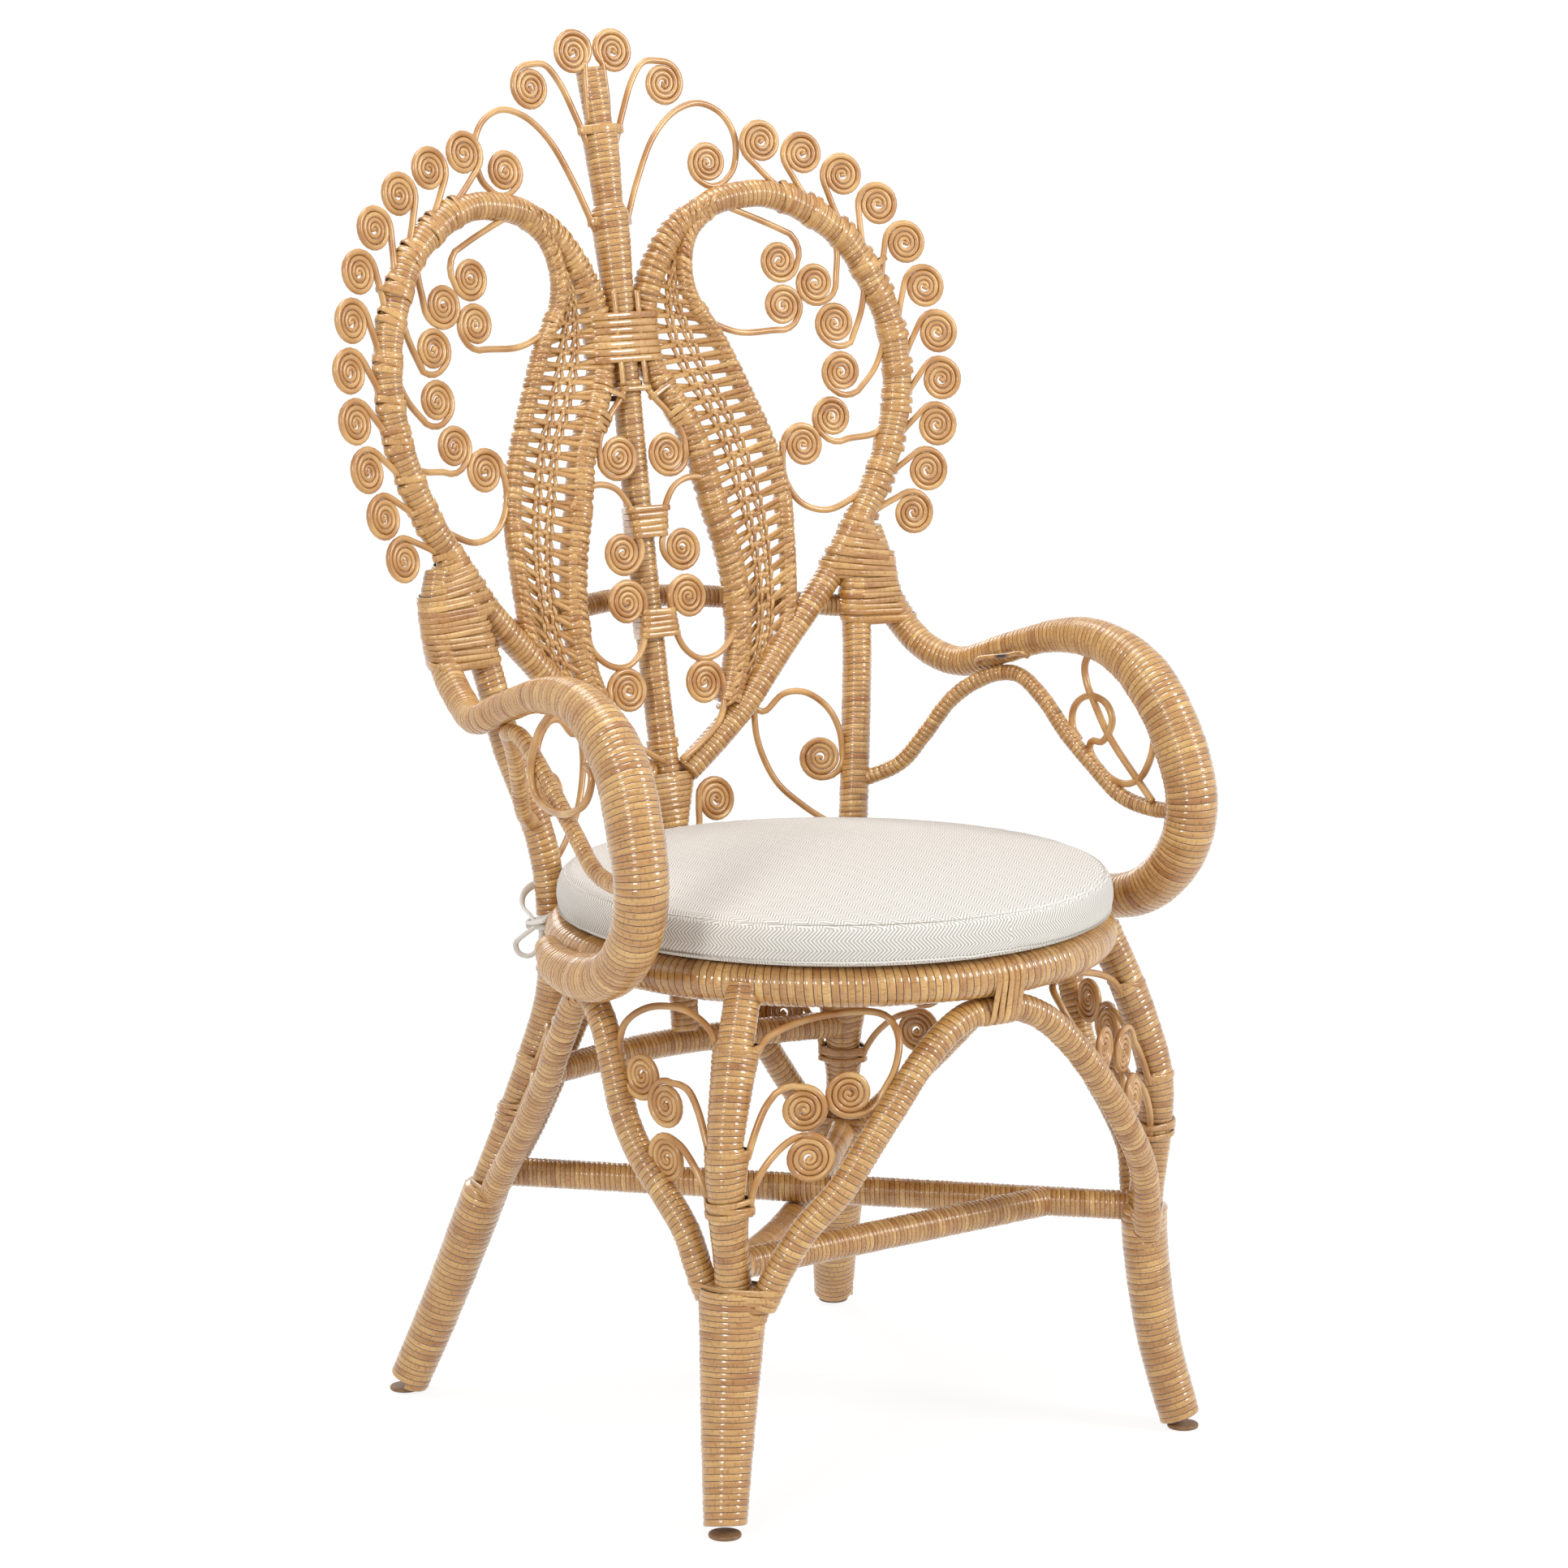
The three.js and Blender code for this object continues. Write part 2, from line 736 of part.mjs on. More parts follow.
// Woven panel between the loop's inner run and the thin edge pole
const panelSteps = 10;
onBothSides("woven_panel", caneFinish, (side, grow) => {
  const inner = fanPath(loopInnerShares.slice(1), side);
  const outer = fanPath(edgeShares, side);
  const half = panelThickness / 2 + grow;
  const places = [];
  for (let k = 0; k <= panelSteps; k++) {
    const share = k / panelSteps;
    const [a, b] = [inner.getPointAt(share), outer.getPointAt(share)];
    for (const [spot, ahead] of [[a, -half], [b, -half], [b, half], [a, half]]) {
      places.push(spot.x, spot.y + ahead, spot.z);
    }
  }
  const faces = [0, 1, 2, 0, 2, 3];
  for (let k = 0; k < panelSteps; k++) {
    for (let j = 0; j < 4; j++) {
      const [a, b] = [4 * k + j, 4 * k + ((j + 1) % 4)];
      faces.push(a, a + 4, b, b, a + 4, b + 4);
    }
  }
  const last = 4 * panelSteps;
  faces.push(last, last + 2, last + 1, last, last + 3, last + 2);
  const plate = new THREE.BufferGeometry();
  plate.setAttribute("position", new THREE.Float32BufferAttribute(places, 3));
  plate.setIndex(faces);
  return solidOf(plate);
});

// Woven tie that clamps both loop poles to the post
const tieHeightShare = 0.787; // of the crown's height
const tieBandHeight = 46;
const tieWall = 4;
piece("centre_tie", caneFinish, (grow) => {
  const halfWide = 0.08 * fanHalfWidth + loopPoleRadius + tieWall + grow;
  const halfDeep = postRadius + tieWall + grow;
  const ring = [];
  const ringSides = 16;
  for (let k = 0; k < ringSides; k++) {
    const turn = (k * 2 * Math.PI) / ringSides;
    const [c, s] = [Math.cos(turn), Math.sin(turn)];
    ring.push(
      new THREE.Vector2(
        Math.sign(c) * Math.pow(Math.abs(c), 0.5) * halfWide,
        Math.sign(s) * Math.pow(Math.abs(s), 0.6) * halfDeep,
      ),
    );
  }
  const band = new THREE.ExtrudeGeometry(new THREE.Shape(ring), {
    depth: tieBandHeight + 2 * grow,
    steps: 1,
    bevelEnabled: false,
  });
  band.translate(0, 0, -tieBandHeight / 2 - grow);
  band.rotateX(-Math.atan(fanLeanShare));
  const middle = fanSpot(1, 0, tieHeightShare);
  band.translate(middle.x, middle.y, middle.z);
  return solidOf(band);
});

// Curls along the outside of each loop, each on a stem from the loop pole
const outerCurlShares = [
  [0.506, 0.928],
  [0.635, 0.918],
  [0.754, 0.901],
  [0.856, 0.878],
  [0.928, 0.848],
  [0.973, 0.814],
  [1, 0.779],
  [0.997, 0.743],
  [0.97, 0.708],
  [0.928, 0.674],
  [0.871, 0.642],
];
// The point of a curve nearest to a spot, moved on by a distance along the curve.
function nearestOn(curve, spot, onward) {
  const tries = 200;
  let best = 0;
  for (let k = 0; k <= tries; k++) {
    const there = curve.getPointAt(k / tries).distanceTo(spot);
    if (there < curve.getPointAt(best).distanceTo(spot)) best = k / tries;
  }
  const moved = best + onward / curve.getLength();
  return curve.getPointAt(Math.min(Math.max(moved, 0), 1));
}
const stemLead = 26; // how far along the pole a stem lands from its curl
function curlOnPole(curve, side, share, lead, grow) {
  const centre = fanSpot(side, share[0], share[1]);
  const landing = nearestOn(curve, centre, lead);
  const rim = centre.clone().lerp(landing, 0.3);
  return joined([
    coil(centre, fanNormal(side, share[0]), grow),
    stem([rim, landing], grow, 1),
  ]);
}
onBothSides("outer_curls", curlFinish, (side, grow) => {
  const outer = fanPath(loopOuterShares, side);
  const centres = outerCurlShares.map((share) => fanSpot(side, ...share));
  return joined([
    ...outerCurlShares.map((share) => curlOnPole(outer, side, share, -stemLead, grow)),
    ...links(centres, grow),
  ]);
});

// Curls inside each loop. Rows of [out, up] of the centre, then the stem's points.
const innerCurls = [
  { centre: [0.527, 0.838], stem: [[0.38, 0.877], [0.49, 0.862], [0.575, 0.842]] },
  { centre: [0.635, 0.82], stem: [[0.68, 0.864], [0.705, 0.842], [0.69, 0.82]] },
  { centre: [0.524, 0.804], stem: [[0.29, 0.79], [0.39, 0.786], [0.5, 0.788]] },
  { centre: [0.686, 0.789], stem: [[0.8, 0.822], [0.775, 0.79], [0.74, 0.778]] },
  { centre: [0.692, 0.752], stem: [[0.85, 0.775], [0.79, 0.745], [0.73, 0.735]] },
  { centre: [0.647, 0.718], stem: [[0.845, 0.723], [0.77, 0.7], [0.69, 0.7]] },
  { centre: [0.545, 0.698], stem: [[0.458, 0.66], [0.475, 0.69], [0.5, 0.698]] },
];
// The curls that touch, by their places in the rows above
const innerLinks = [
  [0, 1, 3, 4, 5, 6],
  [0, 2],
];
// U-shaped cane under the last curl
const underArcShares = [
  [0.5, 0.69],
  [0.475, 0.668],
  [0.52, 0.65],
  [0.6, 0.645],
  [0.68, 0.653],
  [0.75, 0.668],
];
onBothSides("inner_curls", curlFinish, (side, grow) => {
  const centres = innerCurls.map((curl) => fanSpot(side, ...curl.centre));
  return joined([
    ...innerCurls.flatMap((curl, i) => [
      coil(centres[i], fanNormal(side, curl.centre[0]), grow),
      stem(curl.stem.map((share) => fanSpot(side, ...share)), grow, 3),
    ]),
    ...innerLinks.flatMap((row) => links(row.map((i) => centres[i]), grow)),
    stem(underArcShares.map((share) => fanSpot(side, ...share)), grow, 6),
  ]);
});

// Crest: twin curls on top of the post, then a curl each side, then one on a long arch
const crestTopShares = [0.066, 0.998];
const crestMidShares = [0.226, 0.9735];
const crestLowShares = [0.346, 0.913];
const crestTopStemShares = [
  [0.03, 0.96],
  [0.05, 0.975],
  [0.066, 0.998],
];
const crestMidStemShares = [
  [0.05, 0.935],
  [0.1, 0.962],
  [0.155, 0.985],
  [0.215, 0.9885],
];
const crestLowStemShares = [
  [0.055, 0.872],
  [0.14, 0.921],
  [0.245, 0.951],
  [0.34, 0.959],
  [0.414, 0.95],
  [0.446, 0.931],
  [0.43, 0.913],
  [0.39, 0.905],
];
function crestCurl(side, centreShares, stemShares, grow) {
  const spot = (share) => fanSpot(side, share[0], share[1], -crestSetBack);
  return joined([
    coil(spot(centreShares), fanNormal(side, centreShares[0]), grow),
    stem(stemShares.map(spot), grow, stemShares.length),
  ]);
}
piece("crest_top_curls", curlFinish, (grow) =>
  joined(sides.map(([, side]) => crestCurl(side, crestTopShares, crestTopStemShares, grow))),
);
onBothSides("crest_middle_curl", curlFinish, (side, grow) =>
  crestCurl(side, crestMidShares, crestMidStemShares, grow),
);
onBothSides("crest_lower_curl", curlFinish, (side, grow) =>
  crestCurl(side, crestLowShares, crestLowStemShares, grow),
);

// Scrolls in front of the post
const scrollAhead = postRadius + caneRadius + seam - postSetBack;
const aheadSpot = (side, share) => fanSpot(side, share[0], share[1], scrollAhead);
const knotCurlShares = [0.084, 0.7];
const knotStemShares = [
  [0.03, 0.755],
  [0.06, 0.742],
  [0.105, 0.725],
  [0.13, 0.71],
];
onBothSides("knot_curl", curlFinish, (side, grow) =>
  joined([
    coil(aheadSpot(side, knotCurlShares), fanNormal(side, 0), grow),
    stem(knotStemShares.map((share) => aheadSpot(side, share)), grow, 4),
  ]),
);
const centreScrollShares = [
  [0.102, 0.629],
  [0.105, 0.592],
  [0.132, 0.527],
];
const centreStems = [
  [[0.23, 0.668], [0.16, 0.679], [0.07, 0.675], [0.035, 0.655], [0.05, 0.64]],
  [[0.05, 0.592], [0.05, 0.572], [0.08, 0.551], [0.132, 0.5445], [0.19, 0.551], [0.245, 0.572]],
  [[0.19, 0.52], [0.17, 0.498], [0.1, 0.485], [0.035, 0.474]],
];
onBothSides("centre_scrolls", curlFinish, (side, grow) =>
  joined([
    ...centreScrollShares.map((share) => coil(aheadSpot(side, share), fanNormal(side, 0), grow)),
    ...links(centreScrollShares.slice(0, 2).map((share) => aheadSpot(side, share)), grow),
    ...centreStems.map((points) => stem(points.map((share) => aheadSpot(side, share)), grow, 6)),
  ]),
);

// Heart-shaped canes between the V and the rear posts, ending in a curl. They leave the fan's
// surface at the V and turn forward to meet the posts.
const heartRootShare = 0.313; // of the fan's half width, where they leave the V
const heartTurnShare = 0.35; // forward per unit of distance outward
const heartTopShares = [
  [0.313, 0.5],
  [0.327, 0.498],
  [0.384, 0.511],
  [0.44, 0.512],
  [0.497, 0.5],
  [0.525, 0.48],
  [0.515, 0.465],
];
const heartLowShares = [
  [0.313, 0.5],
  [0.302, 0.478],
  [0.343, 0.447],
  [0.408, 0.428],
  [0.49, 0.411],
];
const heartCurlShares = [0.467, 0.464];
onBothSides("heart_scroll", curlFinish, (side, grow) => {
  const spot = ([out, up]) => {
    const ahead = Math.max(out - heartRootShare, 0) * fanHalfWidth * heartTurnShare;
    return fanSpot(side, out, up, ahead);
  };
  const normal = fanNormal(side, heartCurlShares[0]);
  normal.x -= side * heartTurnShare;
  return joined([
    coil(spot(heartCurlShares), normal.normalize(), grow),
    stem(heartTopShares.map(spot), grow, 9),
    stem(heartLowShares.map(spot), grow, 6),
  ]);
});
const baseCurlShares = [0.141, 0.438];
onBothSides("base_curl", curlFinish, (side, grow) =>
  joined([
    coil(fanSpot(side, ...baseCurlShares), fanNormal(side, 0), grow),
    stem([fanSpot(side, 0.03, 0.412), fanSpot(side, 0.06, 0.425), fanSpot(side, 0.1, 0.43)], grow, 2),
  ]),
);

// Scrolls on both faces of each leg. A spot lies between the leg's pole and the arch beside it,
// at a height: across is 0 on the pole's skin and 1 on the arch.
function atHeight(curve, from, to, height) {
  const tries = 80;
  let best = curve.getPointAt(from);
  for (let k = 0; k <= tries; k++) {
    const spot = curve.getPointAt(from + ((to - from) * k) / tries);
    if (Math.abs(spot.z - height) < Math.abs(best.z - height)) best = spot;
  }
  return best;
}
// The face between the front or rear arch and the leg, then the face on the chair's side.
const legFaceShares = [
  {
    curls: [[0.65, 0.8], [0.37, 0.775], [0.54, 0.69]],
    stems: [
      [[0, 0.705], [0.05, 0.74], [0.22, 0.8]],
      [[0, 0.6], [0.08, 0.645], [0.3, 0.71]],
    ],
    loop: [
      [0, 0.885],
      [0.05, 0.91],
      [0.27, 0.932],
      [0.52, 0.925],
      [0.73, 0.885],
      [0.82, 0.83],
      [0.83, 0.785],
      [0.74, 0.755],
    ],
  },
  {
    curls: [[0.72, 0.805], [0.48, 0.762], [0.6, 0.664]],
    stems: [
      [[0, 0.7], [0.1, 0.74], [0.32, 0.795]],
      [[0, 0.6], [0.1, 0.635], [0.38, 0.69]],
    ],
    loop: [
      [0, 0.885],
      [0.05, 0.91],
      [0.27, 0.932],
      [0.56, 0.925],
      [0.79, 0.885],
      [0.88, 0.83],
      [0.89, 0.79],
      [0.8, 0.765],
    ],
  },
];
const legCollarShares = [0.885, 0.705, 0.6];
for (const front of [true, false]) {
  for (const [word, side] of sides) {
    piece("leg_scrolls_" + (front ? "front_" : "rear_") + word, curlFinish, (grow) => {
      const leg = legPath(front, side);
      const parts = [];
      const across = archPath(front);
      const beside = sideArchPath(side);
      // The halves of the arches that start at this leg, as [curve, from, to].
      const faces = [
        side > 0 ? [across, 1, 0.5] : [across, 0, 0.5],
        front ? [beside, 0, 0.52] : [beside, 1, 0.52],
      ];
      faces.forEach(([arch, from, to], face) => {
        const { curls, stems, loop } = legFaceShares[face];
        const spot = (share) => {
          const height = share[1] * legHeight;
          const onLeg = atHeight(leg, 0.3, 1, height);
          const onArch = atHeight(arch, from, to, Math.min(height, archTop));
          const width = onLeg.distanceTo(onArch);
          const out = legPoleRadius + caneRadius;
          return onLeg.lerp(onArch, (out + share[0] * (width - out)) / width).setZ(height);
        };
        const flat = spot([1, 0.75]).sub(spot([0, 0.75]));
        const normal = new THREE.Vector3().crossVectors(flat, UP).normalize();
        curls.forEach((share) => parts.push(coil(spot(share), normal, grow)));
        stems.forEach((points) => parts.push(stem(points.map(spot), grow, 2)));
        parts.push(stem(loop.map(spot), grow, 7));
      });
      for (const share of legCollarShares) {
        const spot = atHeight(leg, 0.3, 1, share * legHeight).setZ(share * legHeight);
        const collar = new THREE.CylinderGeometry(
          legPoleRadius + 1.6 * caneRadius + grow,
          legPoleRadius + 1.6 * caneRadius + grow,
          2 * caneRadius + 2 * grow,
          poleSides,
        );
        collar.rotateX(Math.PI / 2);
        collar.translate(spot.x, spot.y, spot.z);
        parts.push(solidOf(collar));
      }
      return joined(parts);
    });
  }
}

// Seat cushion: a round boxed pad with a crowned top and rounded, swelling sides
piece("seat_cushion", linenFinish, () => {
  const bottom = hoopTop + seam;
  const top = bottom + cushionThickness;
  const profile = [
    [0, bottom],
    [cushionRadius - cushionCorner, bottom],
    [cushionRadius, bottom + cushionCorner],
    [cushionRadius + cushionSideSwell, bottom + cushionThickness / 2],
    [cushionRadius, top - cushionCorner],
    [cushionRadius - cushionCorner, top],
    [cushionRadius * 0.75, top + cushionCrown * 0.6],
    [cushionRadius * 0.4, top + cushionCrown * 0.95],
    [0, top + cushionCrown],
  ];
  const pad = new THREE.LatheGeometry(
    profile.map((spot) => new THREE.Vector2(spot[0], spot[1])),
    cushionSides,
  );
  pad.rotateX(Math.PI / 2);
  pad.translate(cushionAcross, cushionMiddle, 0);
  return solidOf(pad);
});

// Cotton tie cords: from the cushion once round the rear post, then a loop that hangs outside.
// Rows hold [turns round the post from the outward direction, distance from the post's middle in
// post radii, height above the cushion's foot in cushion thicknesses].
const tieShares = [
  [0.64, 2.3, 0.24],
  [0.6, 1.75, 0.24],
  [0.53, 1.42, 0.24],
  [0.42, 1.32, 0.23],
  [0.3, 1.32, 0.21],
  [0.2, 1.38, 0.16],
  [0.1, 1.6, 0.04],
  [0.02, 1.85, -0.14],
  [-0.06, 1.9, -0.33],
  [-0.085, 2.05, -0.5],
  [-0.05, 2.45, -0.66],
  [-0.015, 2.75, -0.86],
  [-0.03, 2.7, -1.05],
  [-0.07, 2.35, -1.1],
  [-0.1, 2.05, -0.96],
  [-0.115, 1.9, -0.76],
  [-0.12, 1.85, -0.56],
];
const tieSteps = 28;
onBothSides("cushion_tie", cottonFinish, (side, grow) => {
  const post = atHeight(rearPostPath(1), 0, 1, hoopTop + cushionThickness / 2);
  const spot = ([turns, reach, rise]) => {
    const turn = turns * 2 * Math.PI;
    const x = post.x + Math.cos(turn) * reach * rearPostRadius;
    const y = post.y + Math.sin(turn) * reach * rearPostRadius;
    return at(side * x, y, hoopTop + rise * cushionThickness);
  };
  return pole(pathOf(tieShares.map(spot)), tieRadius + grow, tieSides, tieSteps);
});

// The largest connected body of a solid.
function mainBody(solid) {
  return solid.decompose().reduce((a, b) => (a.volume() > b.volume() ? a : b));
}

function boxesMeet(a, b) {
  const [p, q] = [a.boundingBox(), b.boundingBox()];
  return [0, 1, 2].every((k) => p.min[k] < q.max[k] && q.min[k] < p.max[k]);
}

function geometryOf(solid) {
  const mesh = solid.getMesh();
  const geometry = new THREE.BufferGeometry();
  geometry.setAttribute("position", new THREE.BufferAttribute(mesh.vertProperties, 3));
  geometry.setIndex(new THREE.BufferAttribute(mesh.triVerts, 1));
  geometry.computeVertexNormals();
  return geometry;
}

const chair = new THREE.Group();
const fattened = [];
for (const { name, finish, make } of pieces) {
  let solid = make(0);
  for (const other of fattened) {
    if (boxesMeet(solid, other)) solid = solid.subtract(other);
  }
  const body = mainBody(solid).simplify(flatness);
  const mesh = new THREE.Mesh(geometryOf(body), new THREE.MeshStandardMaterial(finish));
  mesh.name = name;
  chair.add(mesh);
  fattened.push(make(seam));
}
chair.position.y = depthShift;

export default chair;
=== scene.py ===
import math
import random
import bpy
import numpy as np
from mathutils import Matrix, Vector


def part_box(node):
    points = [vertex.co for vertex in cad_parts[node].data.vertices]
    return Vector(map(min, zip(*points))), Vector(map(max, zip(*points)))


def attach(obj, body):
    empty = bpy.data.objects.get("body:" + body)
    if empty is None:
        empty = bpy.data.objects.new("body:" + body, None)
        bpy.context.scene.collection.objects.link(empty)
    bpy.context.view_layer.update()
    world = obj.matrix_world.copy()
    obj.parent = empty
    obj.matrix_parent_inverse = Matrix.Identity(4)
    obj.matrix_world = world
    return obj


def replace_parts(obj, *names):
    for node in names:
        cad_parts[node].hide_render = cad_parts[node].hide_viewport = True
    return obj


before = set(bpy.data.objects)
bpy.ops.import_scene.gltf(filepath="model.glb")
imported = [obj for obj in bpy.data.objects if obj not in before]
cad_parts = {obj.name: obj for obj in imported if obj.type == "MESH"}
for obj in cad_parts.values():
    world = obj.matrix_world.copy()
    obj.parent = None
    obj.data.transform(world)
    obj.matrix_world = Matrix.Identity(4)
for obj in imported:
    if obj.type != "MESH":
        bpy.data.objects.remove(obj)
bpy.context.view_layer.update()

# A peacock chair of rattan poles bound with split peel, with coiled canes and a loose round cushion.
# Metres, +Z up, the sitter faces -Y. Routes are in shares of the chair's own named sizes.

bpy.ops.object.select_all(action="DESELECT")
print("frame loaded:", len(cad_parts), "pieces")

bothSides = [("left", 1), ("right", -1)]
depthShift = 0.0024  # the chair's middle of depth, behind the hoop's own frame


# camera, floor and light

camera = {
    "place": (-2.68564, -3.62416, 1.41909),
    "azimuth": -36.491,  # degrees, 0 looks along +Y
    "elevation": 10.363,
    "lens": 115.19,
}


def addObject(name, data):
    made = bpy.data.objects.new(name, data)
    bpy.context.scene.collection.objects.link(made)
    return made


def turnTo(made, place, way):
    # lamps and the camera look along their own -Z
    made.location = place
    made.rotation_mode = "QUATERNION"
    made.rotation_quaternion = way.to_track_quat("-Z", "Y")


def makeCamera():
    turn, tip = math.radians(camera["azimuth"]), math.radians(camera["elevation"])
    back = Vector((math.sin(turn) * math.cos(tip), -math.cos(turn) * math.cos(tip), math.sin(tip)))
    data = bpy.data.cameras.new("photoCamera")
    data.lens = camera["lens"]
    data.sensor_width = 36
    data.clip_end = 100
    made = addObject("photoCamera", data)
    turnTo(made, camera["place"], -back)
    bpy.context.scene.camera = made


def linear(hexColour):
    parts = [int(hexColour[i:i + 2], 16) / 255 for i in (1, 3, 5)]
    return [c / 12.92 if c <= 0.04045 else ((c + 0.055) / 1.055) ** 2.4 for c in parts] + [1]


def addNode(tree, kind, settings=None, inputs=None):
    node = tree.nodes.new(kind)
    for key, value in (settings or {}).items():
        setattr(node, key, value)
    for key, value in (inputs or {}).items():
        socket = node.inputs[key]
        if isinstance(value, bpy.types.NodeSocket):
            tree.links.new(value, socket)
        else:
            socket.default_value = value
    return node


def mathOf(tree, operation, a, b=None, c=None):
    given = {k: v for k, v in enumerate((a, b, c)) if v is not None}
    return addNode(tree, "ShaderNodeMath", {"operation": operation}, given).outputs[0]


def rangeOf(tree, value, low=0.0, high=1.0, toLow=0.0, toHigh=1.0, settings=None):
    return addNode(tree, "ShaderNodeMapRange", settings, {
        "Value": value, "From Min": low, "From Max": high, "To Min": toLow, "To Max": toHigh}).outputs[0]


def mixed(tree, share, first, second, blend="MIX"):
    return addNode(tree, "ShaderNodeMix", {"data_type": "RGBA", "blend_type": blend},
                   {0: share, 6: first, 7: second}).outputs[2]


def noiseAt(tree, spot, detail, roughness=0.5, scale=1.0):
    return addNode(tree, "ShaderNodeTexNoise", None, {
        "Vector": spot, "Scale": scale, "Detail": detail, "Roughness": roughness}).outputs[0]


def stretched(tree, *pairs):
    # a place whose axes are the given values, each times its number
    return addNode(tree, "ShaderNodeCombineXYZ", None, {
        k: mathOf(tree, "MULTIPLY", value, times) for k, (value, times) in enumerate(pairs)}).outputs[0]


def bumped(tree, height, strength, distance):
    return addNode(tree, "ShaderNodeBump", None,
                   {"Height": height, "Strength": strength, "Distance": distance}).outputs[0]


def mapAxes(tree, layer=None):
    # the windings, the cloth's own map, or with no layer the place on the object
    if layer:
        spot = addNode(tree, "ShaderNodeUVMap", {"uv_map": layer}).outputs[0]
    else:
        spot = addNode(tree, "ShaderNodeTexCoord").outputs["Object"]
    split = addNode(tree, "ShaderNodeSeparateXYZ", None, {0: spot})
    return spot, split.outputs["X"], split.outputs["Y"]


def newMaterial(name):
    made = bpy.data.materials.new(name)
    made.use_nodes = True
    made.node_tree.nodes.clear()
    return made, made.node_tree


def finishMaterial(made, shader):
    tree = made.node_tree
    output = addNode(tree, "ShaderNodeOutputMaterial")
    tree.links.new(shader.outputs[0], output.inputs["Surface"])
    return made


def skinned(made, **values):
    # a principled skin, whose sockets have shorter names here
    names = {"color": "Base Color", "rough": "Roughness", "normal": "Normal", "ior": "IOR",
             "coat": "Coat Weight", "coatRough": "Coat Roughness", "specular": "Specular IOR Level",
             "sheen": "Sheen Weight", "sheenRough": "Sheen Roughness"}
    return finishMaterial(made, addNode(made.node_tree, "ShaderNodeBsdfPrincipled", None,
                                        {names[key]: value for key, value in values.items()}))


studio = {
    "floorSize": 140.0,
    "floorDrop": 0.0005,
    "floorColour": "#F2F1EF",
    "world": 0.4,
    "aim": (0, 0, 0.65),
    "lamps": [  # place, size, watts
        ((1.9, -3.0, 2.3), 1.2, 74),
        ((-3.1, -1.6, 2.1), 0.9, 44),
        ((-0.4, 0.3, 3.6), 1.6, 50),
        ((0.6, 3.2, 2.2), 1.6, 26),
    ],
}


def seenDirectly(tree):
    path = addNode(tree, "ShaderNodeLightPath").outputs
    either = mathOf(tree, "MAXIMUM", path["Is Camera Ray"], path["Is Glossy Ray"])
    return mathOf(tree, "MAXIMUM", either, path["Is Transmission Ray"])


def makeStudio():
    bpy.ops.mesh.primitive_plane_add(size=studio["floorSize"], location=(0, 0, -studio["floorDrop"]))
    floor = bpy.context.object
    floor.name = "studioFloor"
    paper, tree = newMaterial("matt white paper")  # a matt sheet that keeps only a soft shadow
    sheet = addNode(tree, "ShaderNodeBsdfPrincipled", None,
                    {"Base Color": linear(studio["floorColour"]), "Roughness": 0.95})
    glow = addNode(tree, "ShaderNodeEmission", None, {"Color": linear("#FFFFFF"), "Strength": 1.1})
    away = addNode(tree, "ShaderNodeVectorMath", {"operation": "LENGTH"},
                   {0: mapAxes(tree)[0]}).outputs["Value"]
    share = mathOf(tree, "MULTIPLY", seenDirectly(tree), rangeOf(tree, away, 1.2, 3.5, 0.8, 1.0))
    finishMaterial(paper, addNode(tree, "ShaderNodeMixShader", None,
                                  {0: share, 1: sheet.outputs[0], 2: glow.outputs[0]}))
    floor.data.materials.append(paper)
    world = bpy.data.worlds.new("paleStudio")
    bpy.context.scene.world = world
    world.use_nodes = True
    tree = world.node_tree
    tree.nodes.clear()
    strength = rangeOf(tree, seenDirectly(tree), toLow=studio["world"])
    sky = addNode(tree, "ShaderNodeBackground", None, {"Color": linear("#FFFFFF"), "Strength": strength})
    output = addNode(tree, "ShaderNodeOutputWorld")
    tree.links.new(sky.outputs[0], output.inputs["Surface"])
    aim = Vector(studio["aim"])
    for number, (place, size, watts) in enumerate(studio["lamps"]):
        data = bpy.data.lights.new(f"softbox{number + 1}", "AREA")
        data.shape = "DISK"
        data.size = size
        data.energy = watts
        turnTo(addObject(data.name, data), place, aim - Vector(place))
    bpy.context.scene.view_settings.view_transform = "Standard"


makeCamera()
makeStudio()
print("camera, floor and lamps set")


# paths and sections

def point(x, y, z):
    return np.array([x, y + depthShift, z])


def smoothPath(points, step=0.002, closed=False):
    # an evenly spaced line through the points, rounded as a bent cane is
    pts = np.array(points, float)
    if closed:
        ext = np.vstack([pts[-1:], pts, pts[:2]])
    else:
        ext = np.vstack([2 * pts[0] - pts[1], pts, 2 * pts[-1] - pts[-2]])
    fine = []
    for i in range(1, len(ext) - 2):
        p0, p1, p2, p3 = ext[i - 1:i + 3]
        a = max(np.linalg.norm(p1 - p0), 1e-9) ** 0.5
        b = max(np.linalg.norm(p2 - p1), 1e-9) ** 0.5
        c = max(np.linalg.norm(p3 - p2), 1e-9) ** 0.5
        t1 = ((p1 - p0) / a - (p2 - p0) / (a + b) + (p2 - p1) / b) * b
        t2 = ((p2 - p1) / b - (p3 - p1) / (b + c) + (p3 - p2) / c) * b
        n = max(4, int(np.linalg.norm(p2 - p1) / step) + 1)
        t = np.linspace(0, 1, n, endpoint=False)[:, None]
        fine.append((2 * t**3 - 3 * t**2 + 1) * p1 + (t**3 - 2 * t**2 + t) * t1
                    + (3 * t**2 - 2 * t**3) * p2 + (t**3 - t**2) * t2)
    fine.append(ext[-2][None])
    line = np.vstack(fine)
    run = runOf(line)
    even = np.linspace(0, run[-1], max(2, int(run[-1] / step) + 1))
    return sampled(line, run, even)


